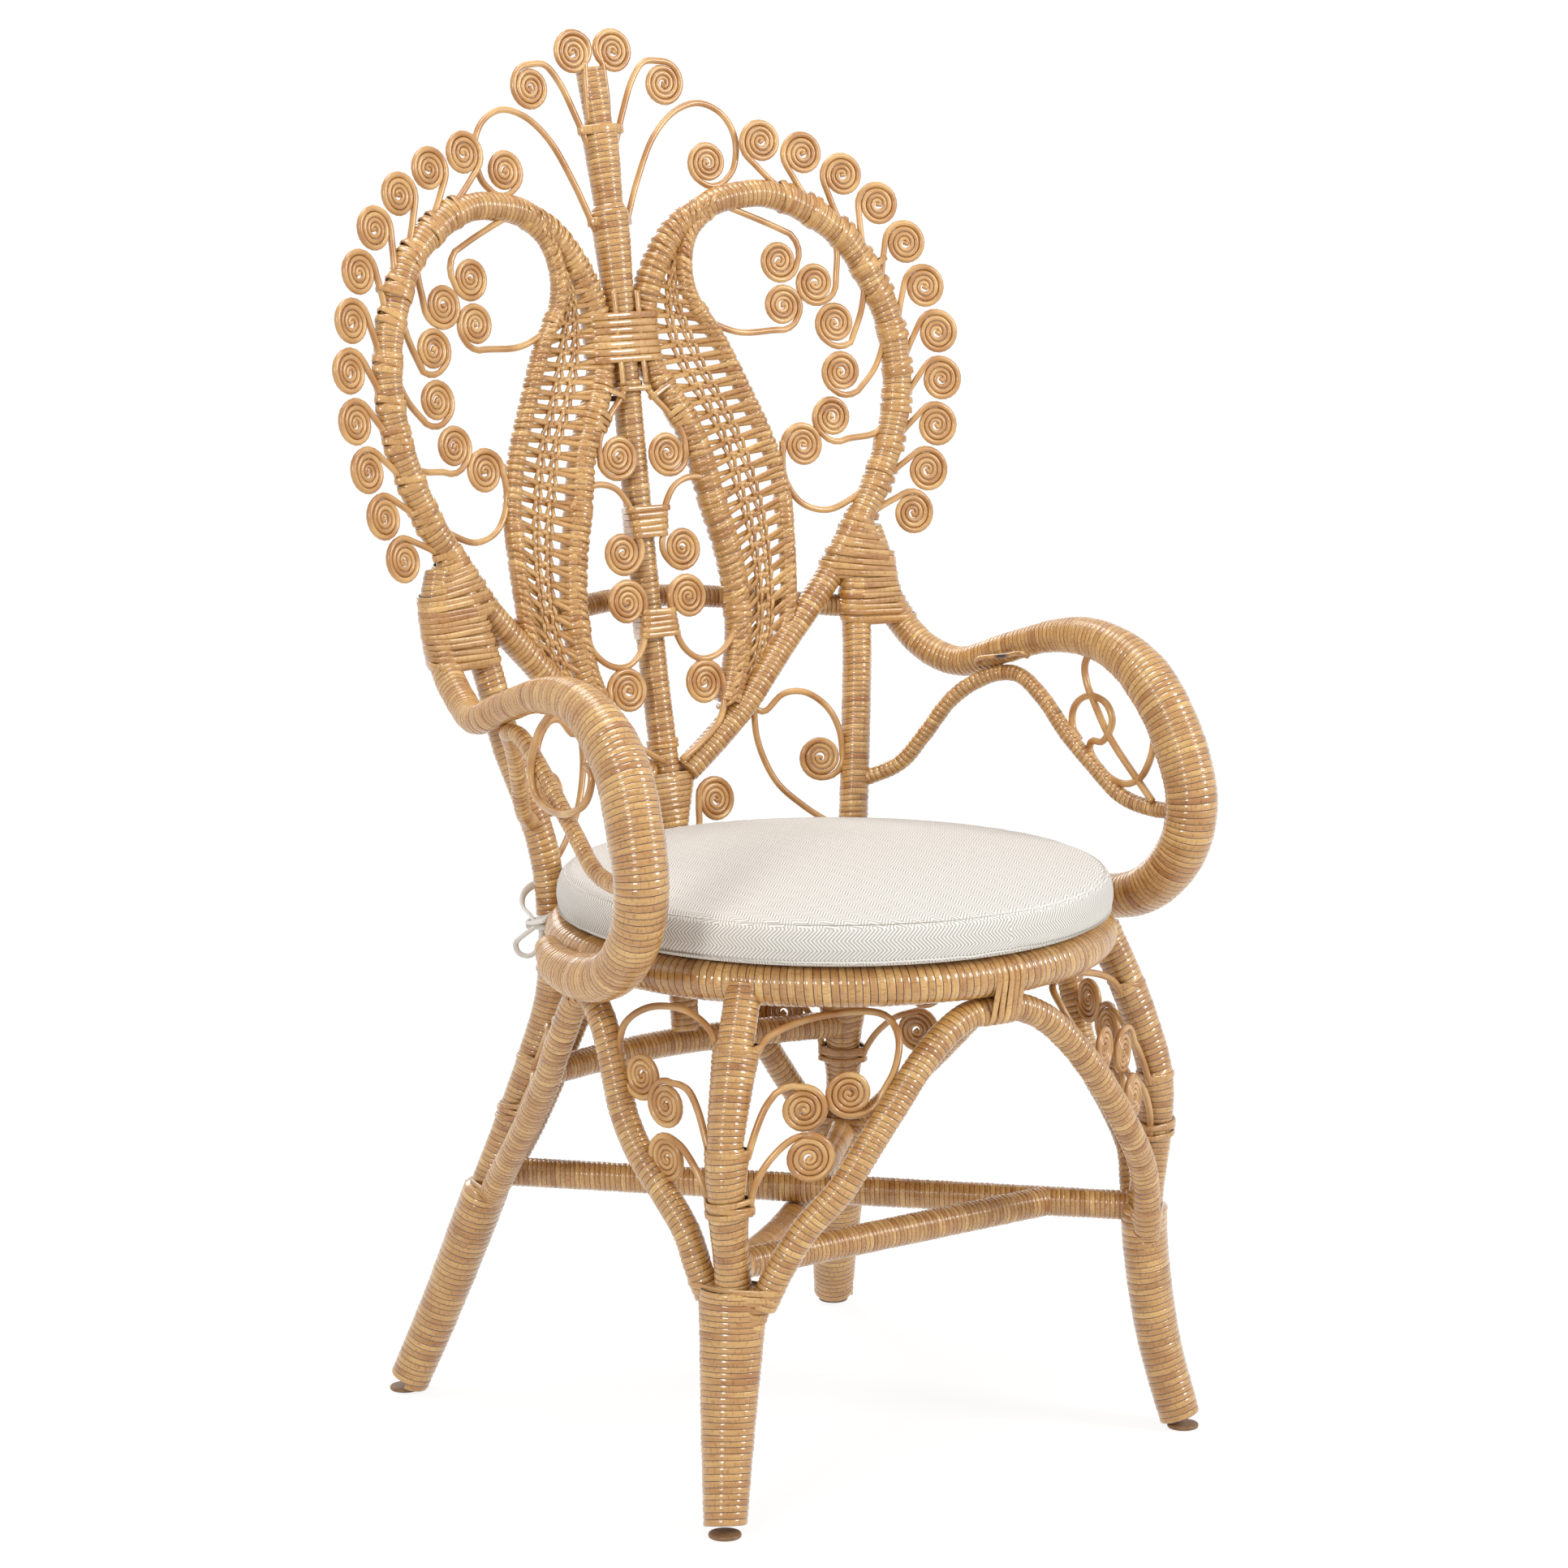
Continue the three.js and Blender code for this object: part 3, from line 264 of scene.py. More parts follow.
def runOf(line):
    return np.concatenate([[0], np.cumsum(np.linalg.norm(np.diff(line, axis=0), axis=1))])


def sampled(rows, run, s):
    return np.stack([np.interp(s, run, column) for column in rows.T], -1)


def placeAt(line, s):
    return sampled(line, runOf(line), s)


def unit(v):
    return v / np.maximum(np.linalg.norm(v, axis=-1, keepdims=True), 1e-12)


def framesOf(line, across=None):
    # along, side and lift at each point; across points the side, or the frame rolls as little as it can
    along = unit(np.gradient(line, axis=0))
    side = np.zeros_like(line)
    if across is None:
        start = np.eye(3)[np.argmin(np.abs(along[0]))]
        side[0] = unit(start - along[0] * (start @ along[0]))
        for i in range(1, len(line)):
            side[i] = unit(side[i - 1] - along[i] * (side[i - 1] @ along[i]))
    else:
        aim = np.broadcast_to(np.array(across, float), line.shape)
        side = unit(aim - along * np.sum(aim * along, 1, keepdims=True))
    return along, side, np.cross(along, side)


def meshPiece(name, parts, material):
    # parts are (vertices, faces, uv of each corner); one object, at the origin
    verts, faces, uvs, base = [], [], [], 0
    for partVerts, partFaces, partUvs in parts:
        verts.append(partVerts)
        faces += [[base + i for i in face] for face in partFaces]
        uvs.append(partUvs)
        base += len(partVerts)
    mesh = bpy.data.meshes.new(name)
    mesh.from_pydata(np.vstack(verts).tolist(), [], faces)
    layer = mesh.uv_layers.new(name="windings")
    layer.data.foreach_set("uv", np.vstack(uvs).astype(np.float32).ravel())
    mesh.polygons.foreach_set("use_smooth", np.ones(len(faces), bool))
    mesh.materials.append(material)
    mesh.update()
    made = addObject(name, mesh)
    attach(made, "root")
    return made


def gridPart(places, uvAt, seamShift=0, closedRows=False):
    # a tube skin from rows x columns of places; seamShift rows are skipped where the winding joins itself
    rows, cols = places.shape[:2]
    q = np.arange(rows if closedRows else rows - 1)
    faces, corners = [], []
    for j in range(cols):
        last = j == cols - 1
        shift = seamShift if last else 0
        keep = q[q + 1 + shift < rows] if not closedRows else q
        nextRow = (keep + 1) % rows
        a, b = keep * cols + j, (keep + shift) % rows * cols + (j + 1) % cols
        c, d = (nextRow + shift) % rows * cols + (j + 1) % cols, nextRow * cols + j
        faces.append(np.stack([a, b, c, d], 1))
        u0, u1 = uvAt(keep, j), uvAt(keep, j + 1)
        u2, u3 = uvAt(keep + 1, j + 1), uvAt(keep + 1, j)
        corners.append(np.stack([u0, u1, u2, u3], 1))
    return np.vstack(faces), np.vstack(corners).reshape(-1, 2)


def capPart(loop, centreIndex, outward):
    faces = []
    for i in range(len(loop)):
        a, b = loop[i], loop[(i + 1) % len(loop)]
        faces.append([centreIndex, a, b] if outward else [centreIndex, b, a])
    return faces


def closedTube(places, uvAt, tips, endUv):
    faces, uvs = gridPart(places, uvAt)
    count, sides = places.shape[:2]
    verts = np.vstack([places.reshape(-1, 3), tips])
    caps = capPart(list(range(sides)), len(verts) - 2, False)
    caps += capPart([(count - 1) * sides + j for j in range(sides)], len(verts) - 1, True)
    return verts, faces.tolist() + caps, np.vstack([uvs, np.full((3 * len(caps), 2), endUv)])


# poles wound with split peel

peelWinding = {
    "rows": [(0.0, -0.00055), (0.14, 0.00012), (0.5, 0.0003), (0.86, 0.0001)],  # share of a turn, height
    "widthSpread": 0.16,
    "heightSpread": 0.00022,
}
turnsUsed = [0]


def woundPart(line, radius, pitch, widths=None, across=None, bulges=(), seed=1, sides=16, span=None):
    # widths: rows of [share of the length, across, through] in shares of the radius
    # bulges: (start, end, toward, size) where canes lie under the peel, in metres along the line
    dice = random.Random(seed)
    along, side, lift = framesOf(line, across)
    run = runOf(line)
    begin, stop = span or (0, run[-1])
    starts = [begin]
    while starts[-1] < stop:
        starts.append(starts[-1] + pitch * (1 + peelWinding["widthSpread"] * dice.uniform(-1, 1)))
    turns = len(starts) - 1
    starts.append(starts[-1] + pitch)
    marks, heights = [], []
    for k in range(turns + 1):
        width = starts[k + 1] - starts[k]
        lift0 = dice.uniform(-1, 1) * peelWinding["heightSpread"]
        for share, height in peelWinding["rows"]:
            marks.append(starts[k] + share * width)
            heights.append(height + (lift0 if height > 0 else 0))
    step = len(peelWinding["rows"])
    marks, heights = np.array(marks), np.array(heights)
    rows = len(marks) - step
    turn = np.arange(sides) / sides
    s = marks[:rows, None] * (1 - turn) + marks[step:, None] * turn
    h = heights[:rows, None] * (1 - turn) + heights[step:, None] * turn
    s = np.clip(s, 0, run[-1])
    angle = 2 * math.pi * turn[None, :] * np.ones_like(s)
    centre, sideAt, liftAt = sampled(line, run, s), unit(sampled(side, run, s)), unit(sampled(lift, run, s))
    if widths is None:
        wide = deep = np.full_like(s, radius)
    else:
        table = np.array(widths)
        wide = np.interp(s / run[-1], table[:, 0], table[:, 1] * radius)
        deep = np.interp(s / run[-1], table[:, 0], table[:, 2] * radius)
    x, y = np.cos(angle) * wide, np.sin(angle) * deep
    for start, end, toward, size in bulges:
        # the section grows towards a cane that lies on the pole, and eases off to its end
        if end > start:
            here = np.interp(s, [start - pitch * 0.4, start, end], [0, 1, 0])
        else:
            here = np.interp(s, [end, start, start + pitch * 0.4], [0, 1, 0])
        way = np.array(toward, float)
        wx, wy = sideAt @ way, liftAt @ way
        norm = np.maximum(np.hypot(wx, wy), 1e-9)
        wx, wy = wx / norm, wy / norm
        facing = np.clip(np.cos(angle) * wx + np.sin(angle) * wy, 0, 1) ** 3
        x, y = x + wx * facing * size * here, y + wy * facing * size * here
    out = np.stack([np.cos(angle), np.sin(angle)], -1)
    x, y = x + out[..., 0] * h, y + out[..., 1] * h
    places = centre + sideAt * x[..., None] + liftAt * y[..., None]
    first = turnsUsed[0]
    turnsUsed[0] += turns + 3

    def uvAt(q, j):
        return np.stack([np.full(len(q), j / sides), first + q / step], 1)

    faces, uvs = gridPart(places, uvAt, seamShift=step)
    verts = places.reshape(-1, 3)
    top = rows - 1
    bottomLoop = list(range(sides)) + [k * sides for k in range(step, 0, -1)]
    topLoop = [top * sides + j for j in range(sides)]
    topLoop += [(top - k) * sides + sides - 1 for k in range(1, step + 1)]
    ends = [places[0].mean(0), places[top].mean(0)]
    verts = np.vstack([verts, ends])
    caps = capPart(bottomLoop, len(verts) - 2, False) + capPart(topLoop, len(verts) - 1, True)
    capUvs = np.full((3 * len(caps), 2), (0.5, first + 0.5))
    return verts, faces.tolist() + caps, np.vstack([uvs, capUvs])


# the hull of poles that lie together, and a flat strip of peel round it

def hullOf(circles, count=28):
    ring = np.linspace(0, 2 * math.pi, 40, endpoint=False)
    dots = np.vstack([np.stack([cx + r * np.cos(ring), cy + r * np.sin(ring)], 1) for cx, cy, r in circles])
    dots = dots[np.lexsort((dots[:, 1], dots[:, 0]))]

    def half(ordered):
        chain = []
        for p in ordered:
            while len(chain) > 1:
                a, b = chain[-1] - chain[-2], p - chain[-2]
                if a[0] * b[1] - a[1] * b[0] > 0:
                    break
                chain.pop()
            chain.append(p)
        return chain

    hull = np.array(half(list(dots))[:-1] + half(list(dots[::-1]))[:-1])
    loop = np.vstack([hull, hull[:1]])
    run = runOf(np.hstack([loop, np.zeros((len(loop), 1))]))
    even = np.linspace(0, run[-1], count, endpoint=False)
    spots = sampled(loop, run, even)
    edge = np.roll(spots, -1, 0) - np.roll(spots, 1, 0)
    return spots, unit(np.stack([edge[:, 1], -edge[:, 0]], 1))


strip = {"width": 0.0052, "thick": 0.0013}


def flatHull(centre, axis, circles):
    # the outline round all the circles [(place, radius)], in the plane across axis
    start = np.eye(3)[np.argmin(np.abs(axis))]
    side = unit(start - axis * (start @ axis))
    up = np.cross(axis, side)
    return side, up, *hullOf([((p - centre) @ side, (p - centre) @ up, r) for p, r in circles])


def stripPart(centre, axis, circles, width=None, thick=None, tilt=0.0, lean=0.0, lift=0.0):
    # one turn of peel round all the circles
    width, thick = width or strip["width"], thick or strip["thick"]
    axis = unit(np.array(axis, float))
    side, up, spots, out = flatHull(centre, axis, circles)
    slant = tilt * (spots[:, 0] * math.cos(lean) + spots[:, 1] * math.sin(lean))
    profile = [(-0.5, -0.6), (-0.5, 0.55), (-0.3, 0.95), (0.3, 0.95), (0.5, 0.55), (0.5, -0.6)]
    rows = []
    for shareAlong, shareOut in profile[::-1]:
        reach = lift + shareOut * thick
        flatSpot = spots + out * reach
        rows.append(centre + flatSpot[:, :1] * side + flatSpot[:, 1:] * up
                    + (slant + shareAlong * width)[:, None] * axis)
    places = np.stack(rows, 1)  # round the hull x across the strip
    first = turnsUsed[0]
    turnsUsed[0] += 1
    # the edge and underside rows fall in the peel's painted gap shade, the crest rows stay light
    across = [0.97, 0.85, 0.7, 0.3, 0.15, 0.03, 0.0]

    def uvAt(q, j):
        v = np.full(len(q), first + across[j])
        return np.stack([q / len(spots), v], 1)

    faces, uvs = gridPart(places, uvAt, closedRows=True)
    return places.reshape(-1, 3), faces.tolist(), uvs


def lidPart(centre, axis, circles, thick):
    # a plate that closes a binding from below
    axis = unit(np.array(axis, float))
    side, up, spots, _ = flatHull(centre, axis, circles)
    flat = centre + spots[:, :1] * side + spots[:, 1:] * up
    count, first = len(spots), turnsUsed[0]
    turnsUsed[0] += 1
    verts = np.vstack([flat + axis * thick / 2, flat - axis * thick / 2, [flat.mean(0) + axis * thick / 2],
                       [flat.mean(0) - axis * thick / 2]])
    faces = [(count + k, count + (k + 1) % count, (k + 1) % count, k) for k in range(count)]
    faces += [(k, (k + 1) % count, 2 * count) for k in range(count)]
    faces += [(count + (k + 1) % count, count + k, 2 * count + 1) for k in range(count)]
    return verts, faces, np.full((10 * count, 2), (0.5, first + 0.5))


def slantedCircles(line, centre, axis, radius):
    # two circles that cover a pole where it passes slanting through the plane across axis
    spot = crossing(line, centre, axis)
    if spot is None:
        return []
    at = int(np.argmin(np.linalg.norm(line - spot, axis=1)))
    along = unit(line[min(at + 1, len(line) - 1)] - line[max(at - 1, 0)])
    straight = max(abs(along @ axis), 0.5)
    sideways = along - axis * (along @ axis)
    extra = unit(sideways) * radius * (1 / straight - 1) if np.linalg.norm(sideways) > 0.01 else np.zeros(3)
    return [(spot + extra, radius), (spot - extra, radius)]


def crossing(line, centre, axis):
    # where a line passes the plane through centre, nearest to it
    side = (line - centre) @ axis
    hits = np.where(side[:-1] * side[1:] <= 0)[0]
    if not len(hits):
        return None
    near = hits[np.argmin(np.linalg.norm(line[hits] - centre, axis=1))]
    t = side[near] / (side[near] - side[near + 1] + 1e-12)
    return line[near] + (line[near + 1] - line[near]) * t


def runNear(line, spot):
    run = runOf(line)
    return run[np.argmin(np.linalg.norm(line - np.array(spot), axis=1))]


def nearHeight(line, height):
    return line[np.argmin(np.abs(line[:, 2] - height))]


# round canes and coils

cane = {
    "thick": 0.0032,  # radius of a stem
    "thin": 0.0021,  # radius at the eye of a coil
    "coil": 0.0241,  # radius of a coil where its outer turn begins
    "eye": 0.003,
    "sides": 8,
    "crestCoil": 0.0248,
    "legCoil": 0.0245,
    "armShare": 1.08,  # the arm scrolls' canes are a little thicker
}


canesMade = []


def canePart(line, radii, across=None, seed=0):
    canesMade.append(line[:max(4, int(len(line) * 0.6))] if np.ndim(radii) else line)
    along, side, lift = framesOf(line, across)
    sides = cane["sides"]
    radii = np.broadcast_to(np.array(radii, float), len(line))
    angle = 2 * math.pi * np.arange(sides) / sides
    ring = (np.cos(angle)[None, :, None] * side[:, None] + np.sin(angle)[None, :, None] * lift[:, None])
    places = line[:, None] + ring * radii[:, None, None]
    run = runOf(line)

    def uvAt(q, j):
        return np.stack([np.full(len(q), j / sides), seed * 3.7 + run[q] * 10], 1)

    tips = [line[0] - along[0] * radii[0] * 0.4, line[-1] + along[-1] * radii[-1] * 0.4]
    return closedTube(places, uvAt, tips, (0.5, seed * 3.7))


def coilPart(centre, normal, stem, radius=None, seed=0):
    # a cane that comes along the stem, meets the coil at its rim and winds in to a small hooked eye
    radius = radius or cane["coil"]
    dice = random.Random(int(seed) + 11)
    normal = unit(np.array(normal, float))
    stem = [np.array(p, float) for p in stem]
    toRim = stem[-1] - centre
    toRim = toRim - normal * (toRim @ normal)
    travel = stem[-1] - stem[-2]
    sense = 1 if np.cross(toRim, travel) @ normal > 0 else -1
    sideways = unit(toRim)
    forward = np.cross(normal, sideways) * sense
    turns, angle = [], 0.0
    reach = np.linalg.norm(toRim)
    now, thick = radius - cane["thick"], cane["thick"]
    while now > cane["eye"]:
        share = min(angle / 1.2, 1)
        level = reach * (1 - share) + now * share
        turns.append(centre + (sideways * math.cos(angle) + forward * math.sin(angle)) * level)
        left = (now - cane["eye"]) / (radius - cane["thick"])
        thick = cane["thin"] + (cane["thick"] - cane["thin"]) * left
        stepAngle = min(0.3, 0.0052 / max(now, 0.001) + 0.09)
        angle += stepAngle
        now -= 2 * thick * 0.985 * stepAngle / (2 * math.pi)
    inward = turns[-1] - centre
    turns += [centre + inward * 0.25, centre - inward * 0.45]  # the hooked eye
    approach = smoothPath(stem, 0.0045)[:-1] if len(stem) > 1 else np.array(stem[:-1])
    line = np.vstack([approach, turns])
    wobble = dice.uniform(-0.0006, 0.0006)
    depth = np.linspace(0, 1, len(line))[:, None]
    line = line + normal * (wobble * depth)
    run = runOf(line)
    begin = runOf(approach)[-1]
    radii = np.interp(run, [0, begin, run[-1]], [cane["thick"], cane["thick"], cane["thin"]])
    return canePart(line, radii, across=normal, seed=seed)


def tangentStem(centre, normal, landing, ahead):
    # from under the windings at the landing, straight to the side of the coil that keeps the bend smooth
    ring = cane["coil"] - cane["thick"]
    normal = unit(np.array(normal, float))
    back = landing - centre
    back = back - normal * (back @ normal)
    distance = max(np.linalg.norm(back), ring * 1.02)
    toLanding = unit(back)
    beside = np.cross(normal, toLanding)
    opening = math.acos(ring / distance)
    best = None
    for sense in (1, -1):
        spot = centre + (toLanding * math.cos(opening) + beside * math.sin(opening) * sense) * ring
        score = (spot - landing) @ ahead
        if best is None or score > best[0]:
            best = (score, spot)
    return best[1]


# the fan's surface, and the routes of the poles

fan = {
    "halfWidth": 0.334,
    "crown": 1.25,
    "footY": 0.085,
    "lean": 0.17,
    "bow": 1.233,
    "postSetBack": 0.012,
    "crestSetBack": 0.010,
}


def fanSpot(side, out, up, ahead=0.0):
    x, z = out * fan["halfWidth"], up * fan["crown"]
    return point(side * x, fan["footY"] + fan["lean"] * z - x * x / (2 * fan["bow"]) - ahead, z)


def fanNormal(side, out):
    return unit(np.array([-side * out * fan["halfWidth"] / fan["bow"], -1, fan["lean"]]))


def fanPath(shares, side):
    # a third number sets a point back, as a share of the post's
    return smoothPath([fanSpot(side, out, up, -sum(back) * fan["postSetBack"]) for out, up, *back in shares])


hoop = {
    "radius": 0.24,
    "height": 0.471,
    "middle": -0.07,
    "pole": 0.018,
    "pitch": 0.0068,
    "backShare": 1.165,
    "shares": [(0.383, -0.924), (0.707, -0.707), (0.924, -0.383), (1, 0), (0.975, 0.3),
               (0.84, 0.56), (0.64, 0.79), (0.38, 0.99)],
}


def hoopPath():
    def spot(out, back):
        return point(out * hoop["radius"], hoop["middle"] + back * hoop["radius"], hoop["height"])
    right = [spot(-out, back) for out, back in hoop["shares"]]
    left = [spot(out, back) for out, back in hoop["shares"]]
    back = spot(0, hoop["backShare"])
    return smoothPath([back] + right[::-1] + [spot(0, -1)] + left + [back])


legs = {
    "height": 0.475,
    "radius": 0.016,
    "pitch": 0.0057,
    "frontSpread": 0.261, "frontReach": -0.263,
    "rearSpread": 0.254, "rearReach": 0.264,
    "front": [(1, 1, 0), (0.936, 0.93, 0.19), (0.895, 0.9, 0.4), (0.897, 0.905, 0.47),
              (0.926, 0.912, 0.6), (0.93, 0.908, 0.7), (0.87, 0.865, 0.84), (0.77, 0.8, 0.965)],
    "rear": [(1, 1, 0), (0.912, 0.875, 0.19), (0.81, 0.705, 0.455), (0.773, 0.655, 0.54),
             (0.715, 0.578, 0.682), (0.667, 0.51, 0.83), (0.666, 0.482, 0.98)],
    "glideTop": 0.0058,
    "widths": [(0, 1.19, 1.18), (0.41, 1.875, 1.32), (0.436, 1.8, 1.3), (0.438, 1, 1), (1, 1, 1)],
    "sleeves": [(0.885, 0.72, 0.0062), (0.705, 0.615, 0.0065), (0.598, 0.54, 0.0035)],  # top, foot, swell
}


fourLegs = [(front, side, ("front_" if front else "rear_") + word) for front in (True, False)
            for word, side in bothSides]


def legSize(front):
    key = "front" if front else "rear"
    return legs[key + "Spread"], legs[key + "Reach"]


def legPath(front, side):
    spread, reach = legSize(front)
    spots = [point(side * out * spread, along * reach, up * legs["height"])
             for out, along, up in legs["front" if front else "rear"]]
    spots[-1][2] = hoop["height"]
    return smoothPath(spots)


post = {
    "radius": 0.0135,
    "tailY": 0.161,
    "tailHeight": 0.330,
    "shares": [(0.43, 0.7), (0.55, 1), (0.7, 0.9), (0.85, 0.7), (0.95, 1), (0.985, 1.4)],
    "pitch": 0.0056,
    "widths": [(0, 1, 1), (0.7, 1, 1), (0.75, 1.07, 1.07), (0.85, 1.41, 1.33), (0.86, 1.04, 1.04),
               (0.93, 1.33, 1.19), (0.94, 0.96, 0.96), (1, 1.07, 0.96)],
}


def postPath():
    spots = [fanSpot(1, 0, up, -back * fan["postSetBack"]) for up, back in post["shares"]]
    return smoothPath([point(0, post["tailY"], post["tailHeight"])] + spots)


loops = {
    "radius": 0.013,
    "pitch": 0.0052,
    "outer": [(0.06, 0.46, 0.6), (0.17, 0.483, 0.3), (0.269, 0.507), (0.425, 0.552), (0.596, 0.601),
              (0.683, 0.634), (0.766, 0.668), (0.814, 0.697), (0.85, 0.728), (0.862, 0.76),
              (0.852, 0.79), (0.814, 0.818), (0.743, 0.852), (0.614, 0.878), (0.5, 0.889)],
    "inner": [(0.4, 0.888), (0.33, 0.884), (0.272, 0.876, 0.2), (0.22, 0.867, 0.4), (0.17, 0.853, 0.5),
              (0.125, 0.835, 0.6), (0.09, 0.813, 0.8), (0.074, 0.787, 0.9), (0.088, 0.763, 0.7),
              (0.115, 0.746, 0.3), (0.15, 0.73), (0.198, 0.702), (0.231, 0.661), (0.263, 0.628),
              (0.278, 0.594), (0.272, 0.56), (0.251, 0.535), (0.215, 0.51)],
}
panelEdge = {
    "radius": 0.008,
    "pitch": 0.005,
    "shares": [(0.311, 0.878), (0.246, 0.862), (0.216, 0.838), (0.228, 0.814), (0.293, 0.786),
               (0.365, 0.744), (0.422, 0.707), (0.458, 0.67), (0.462, 0.636), (0.456, 0.6),
               (0.443, 0.572), (0.4, 0.547)],
}
rearPost = {
    "radius": 0.014,
    "pitch": 0.0055,
    "shares": [(0.683, 0.489, 0.3768), (0.688, 0.492, 0.4), (0.709, 0.511, 0.433), (0.748, 0.553, 0.468),
               (0.791, 0.602, 0.503), (0.827, 0.644, 0.548), (0.87, 0.72, 0.6), (0.9, 0.77, 0.635)],
}


def rearPostPath(side):
    return smoothPath([point(side * out * legs["rearSpread"], back * legs["rearReach"], up * fan["crown"])
                       for out, back, up in rearPost["shares"]])


arms = {
    "spread": 0.308,
    "reach": 0.211,
    "rise": 0.241,
    "radius": 0.014,
    "pitch": 0.0053,
    "shares": [(0.8, 0.945, 1.33), (0.828, 0.92, 1.2), (0.832, 0.875, 1.06), (0.848, 0.77, 0.945),
               (0.868, 0.61, 0.855), (0.9, 0.44, 0.825), (0.92, 0.16, 0.905), (0.945, -0.15, 0.985),
               (0.955, -0.42, 0.997), (0.97, -0.654, 0.925), (0.98, -0.824, 0.79), (0.995, -0.938, 0.602),
               (1, -0.99, 0.435), (0.995, -0.965, 0.28), (0.985, -0.87, 0.15), (0.97, -0.72, 0.05),
               (0.955, -0.5, 0), (0.93, -0.25, -0.005), (0.87, -0.03, 0.02)],
    "widths": [(0, 0.86, 0.86), (0.1, 1, 1), (0.35, 1, 1), (0.45, 1.4, 1.3), (0.53, 1.76, 1.66),
               (0.62, 1.86, 1.71), (0.72, 1.62, 1.71), (0.87, 1.46, 1.71), (0.95, 1.21, 1.21),
               (1, 0.86, 0.86)],
}
braces = {
    "radius": 0.0075,
    "pitch": 0.0052,
    "shares": [(0.6, 0.66, 0.35), (0.7, 0.52, 0.43), (0.753, 0.435, 0.55), (0.808, 0.35, 0.69),
               (0.86, 0.27, 0.765), (0.905, 0.18, 0.805), (0.92, 0.06, 0.81), (0.93, -0.09, 0.735),
               (0.935, -0.255, 0.61), (0.948, -0.42, 0.5), (0.964, -0.58, 0.405), (0.977, -0.74, 0.378),
               (0.99, -0.93, 0.382)],
}
armScrolls = {
    "out": 0.964,
    "rod": [(-0.37, 0.96), (-0.32, 0.885), (-0.337, 0.813), (-0.375, 0.763), (-0.49, 0.63), (-0.79, 0.41)],
    "bend": [(-0.7, 0.84), (-0.75, 0.784), (-0.787, 0.71), (-0.79, 0.622), (-0.753, 0.54),
             (-0.706, 0.49), (-0.616, 0.456), (-0.526, 0.46), (-0.445, 0.49), (-0.36, 0.56),
             (-0.374, 0.593), (-0.445, 0.6), (-0.498, 0.65), (-0.512, 0.697), (-0.474, 0.75),
             (-0.374, 0.772), (-0.294, 0.75), (-0.242, 0.697), (-0.242, 0.63), (-0.29, 0.59)],
    "hook": [(-0.29, 0.955), (-0.245, 0.915), (-0.188, 0.865), (-0.135, 0.783), (-0.12, 0.707),
             (-0.15, 0.627), (-0.267, 0.594, 0.98), (-0.43, 0.595, 1.003), (-0.531, 0.617, 1.01),
             (-0.614, 0.658, 1.01), (-0.655, 0.716, 1.01), (-0.65, 0.765, 1.003), (-0.56, 0.783, 0.98)],
}


def armSpot(side, out, reach, rise):
    return point(side * out * arms["spread"], reach * arms["reach"], hoop["height"] + rise * arms["rise"])


def armPath(side):
    return smoothPath([armSpot(side, *share) for share in arms["shares"]])


def bracePath(side):
    return smoothPath([armSpot(side, *share) for share in braces["shares"]])


arches = {
    "radius": 0.0125,
    "pitch": 0.0056,
    "top": hoop["height"] - hoop["pole"] - 0.0128,
    "front": [(0.84, 0.98, 0.44), (0.79, 1.03, 0.53), (0.728, 1.076, 0.605), (0.628, 1.133, 0.68),
              (0.521, 1.156, 0.768), (0.429, 1.165, 0.837), (0.326, 1.164, 0.907), (0.21, 1.16, 0.965),
              (0.1, 1.156, 0.994)],
    "rear": [(0.79, 0.77, 0.43), (0.65, 0.76, 0.53), (0.5, 0.77, 0.66), (0.36, 0.785, 0.8),
             (0.22, 0.8, 0.915), (0.1, 0.803, 0.98)],
    "sideSpread": 0.259,
    "sideRise": 0.006,
    "side": [(0.93, -0.81, 0.45), (0.952, -0.775, 0.51), (0.97, -0.735, 0.578), (0.985, -0.632, 0.645),
             (0.995, -0.51, 0.709), (1.002, -0.425, 0.78), (1.006, -0.378, 0.86), (1.007, -0.335, 0.93),
             (1.006, -0.3, 0.965)],
    "sideRear": [(0.985, -0.02, 0.885), (0.957, 0.106, 0.784), (0.9, 0.345, 0.636),
                 (0.84, 0.6, 0.49), (0.8, 0.72, 0.43)],
}


def archPath(front):
    spread, reach = legSize(front)
    shares = arches["front" if front else "rear"]

    def spots(side):
        return [point(side * o * spread, f * reach, u * arches["top"]) for o, f, u in shares]
    middle = hoop["middle"] + (-1 if front else hoop["backShare"]) * hoop["radius"]
    return smoothPath(spots(-1) + [point(0, middle, arches["top"])] + spots(1)[::-1])


def sideArchPath(side):
    def spot(out, along, up):
        return point(side * out * arches["sideSpread"], along * legs["rearReach"], up * arches["top"])
    top = point(side * arches["sideSpread"], hoop["middle"] + hoop["pole"],
                arches["top"] + arches["sideRise"])
    return smoothPath([spot(*s) for s in arches["side"]] + [top] + [spot(*s) for s in arches["sideRear"]])


stretchers = {
    "radius": 0.0135,
    "pitch": 0.0046,
    "height": 0.216,
    "slope": 0.007,
    "drop": 0.0273,  # the lower one passes under the upper one
    "frontHold": (0.875, 0.87),
    "rearHold": (0.8, 0.69),
    "frontEnds": (0.08, 0.14),  # shares of the lower and the upper one
}


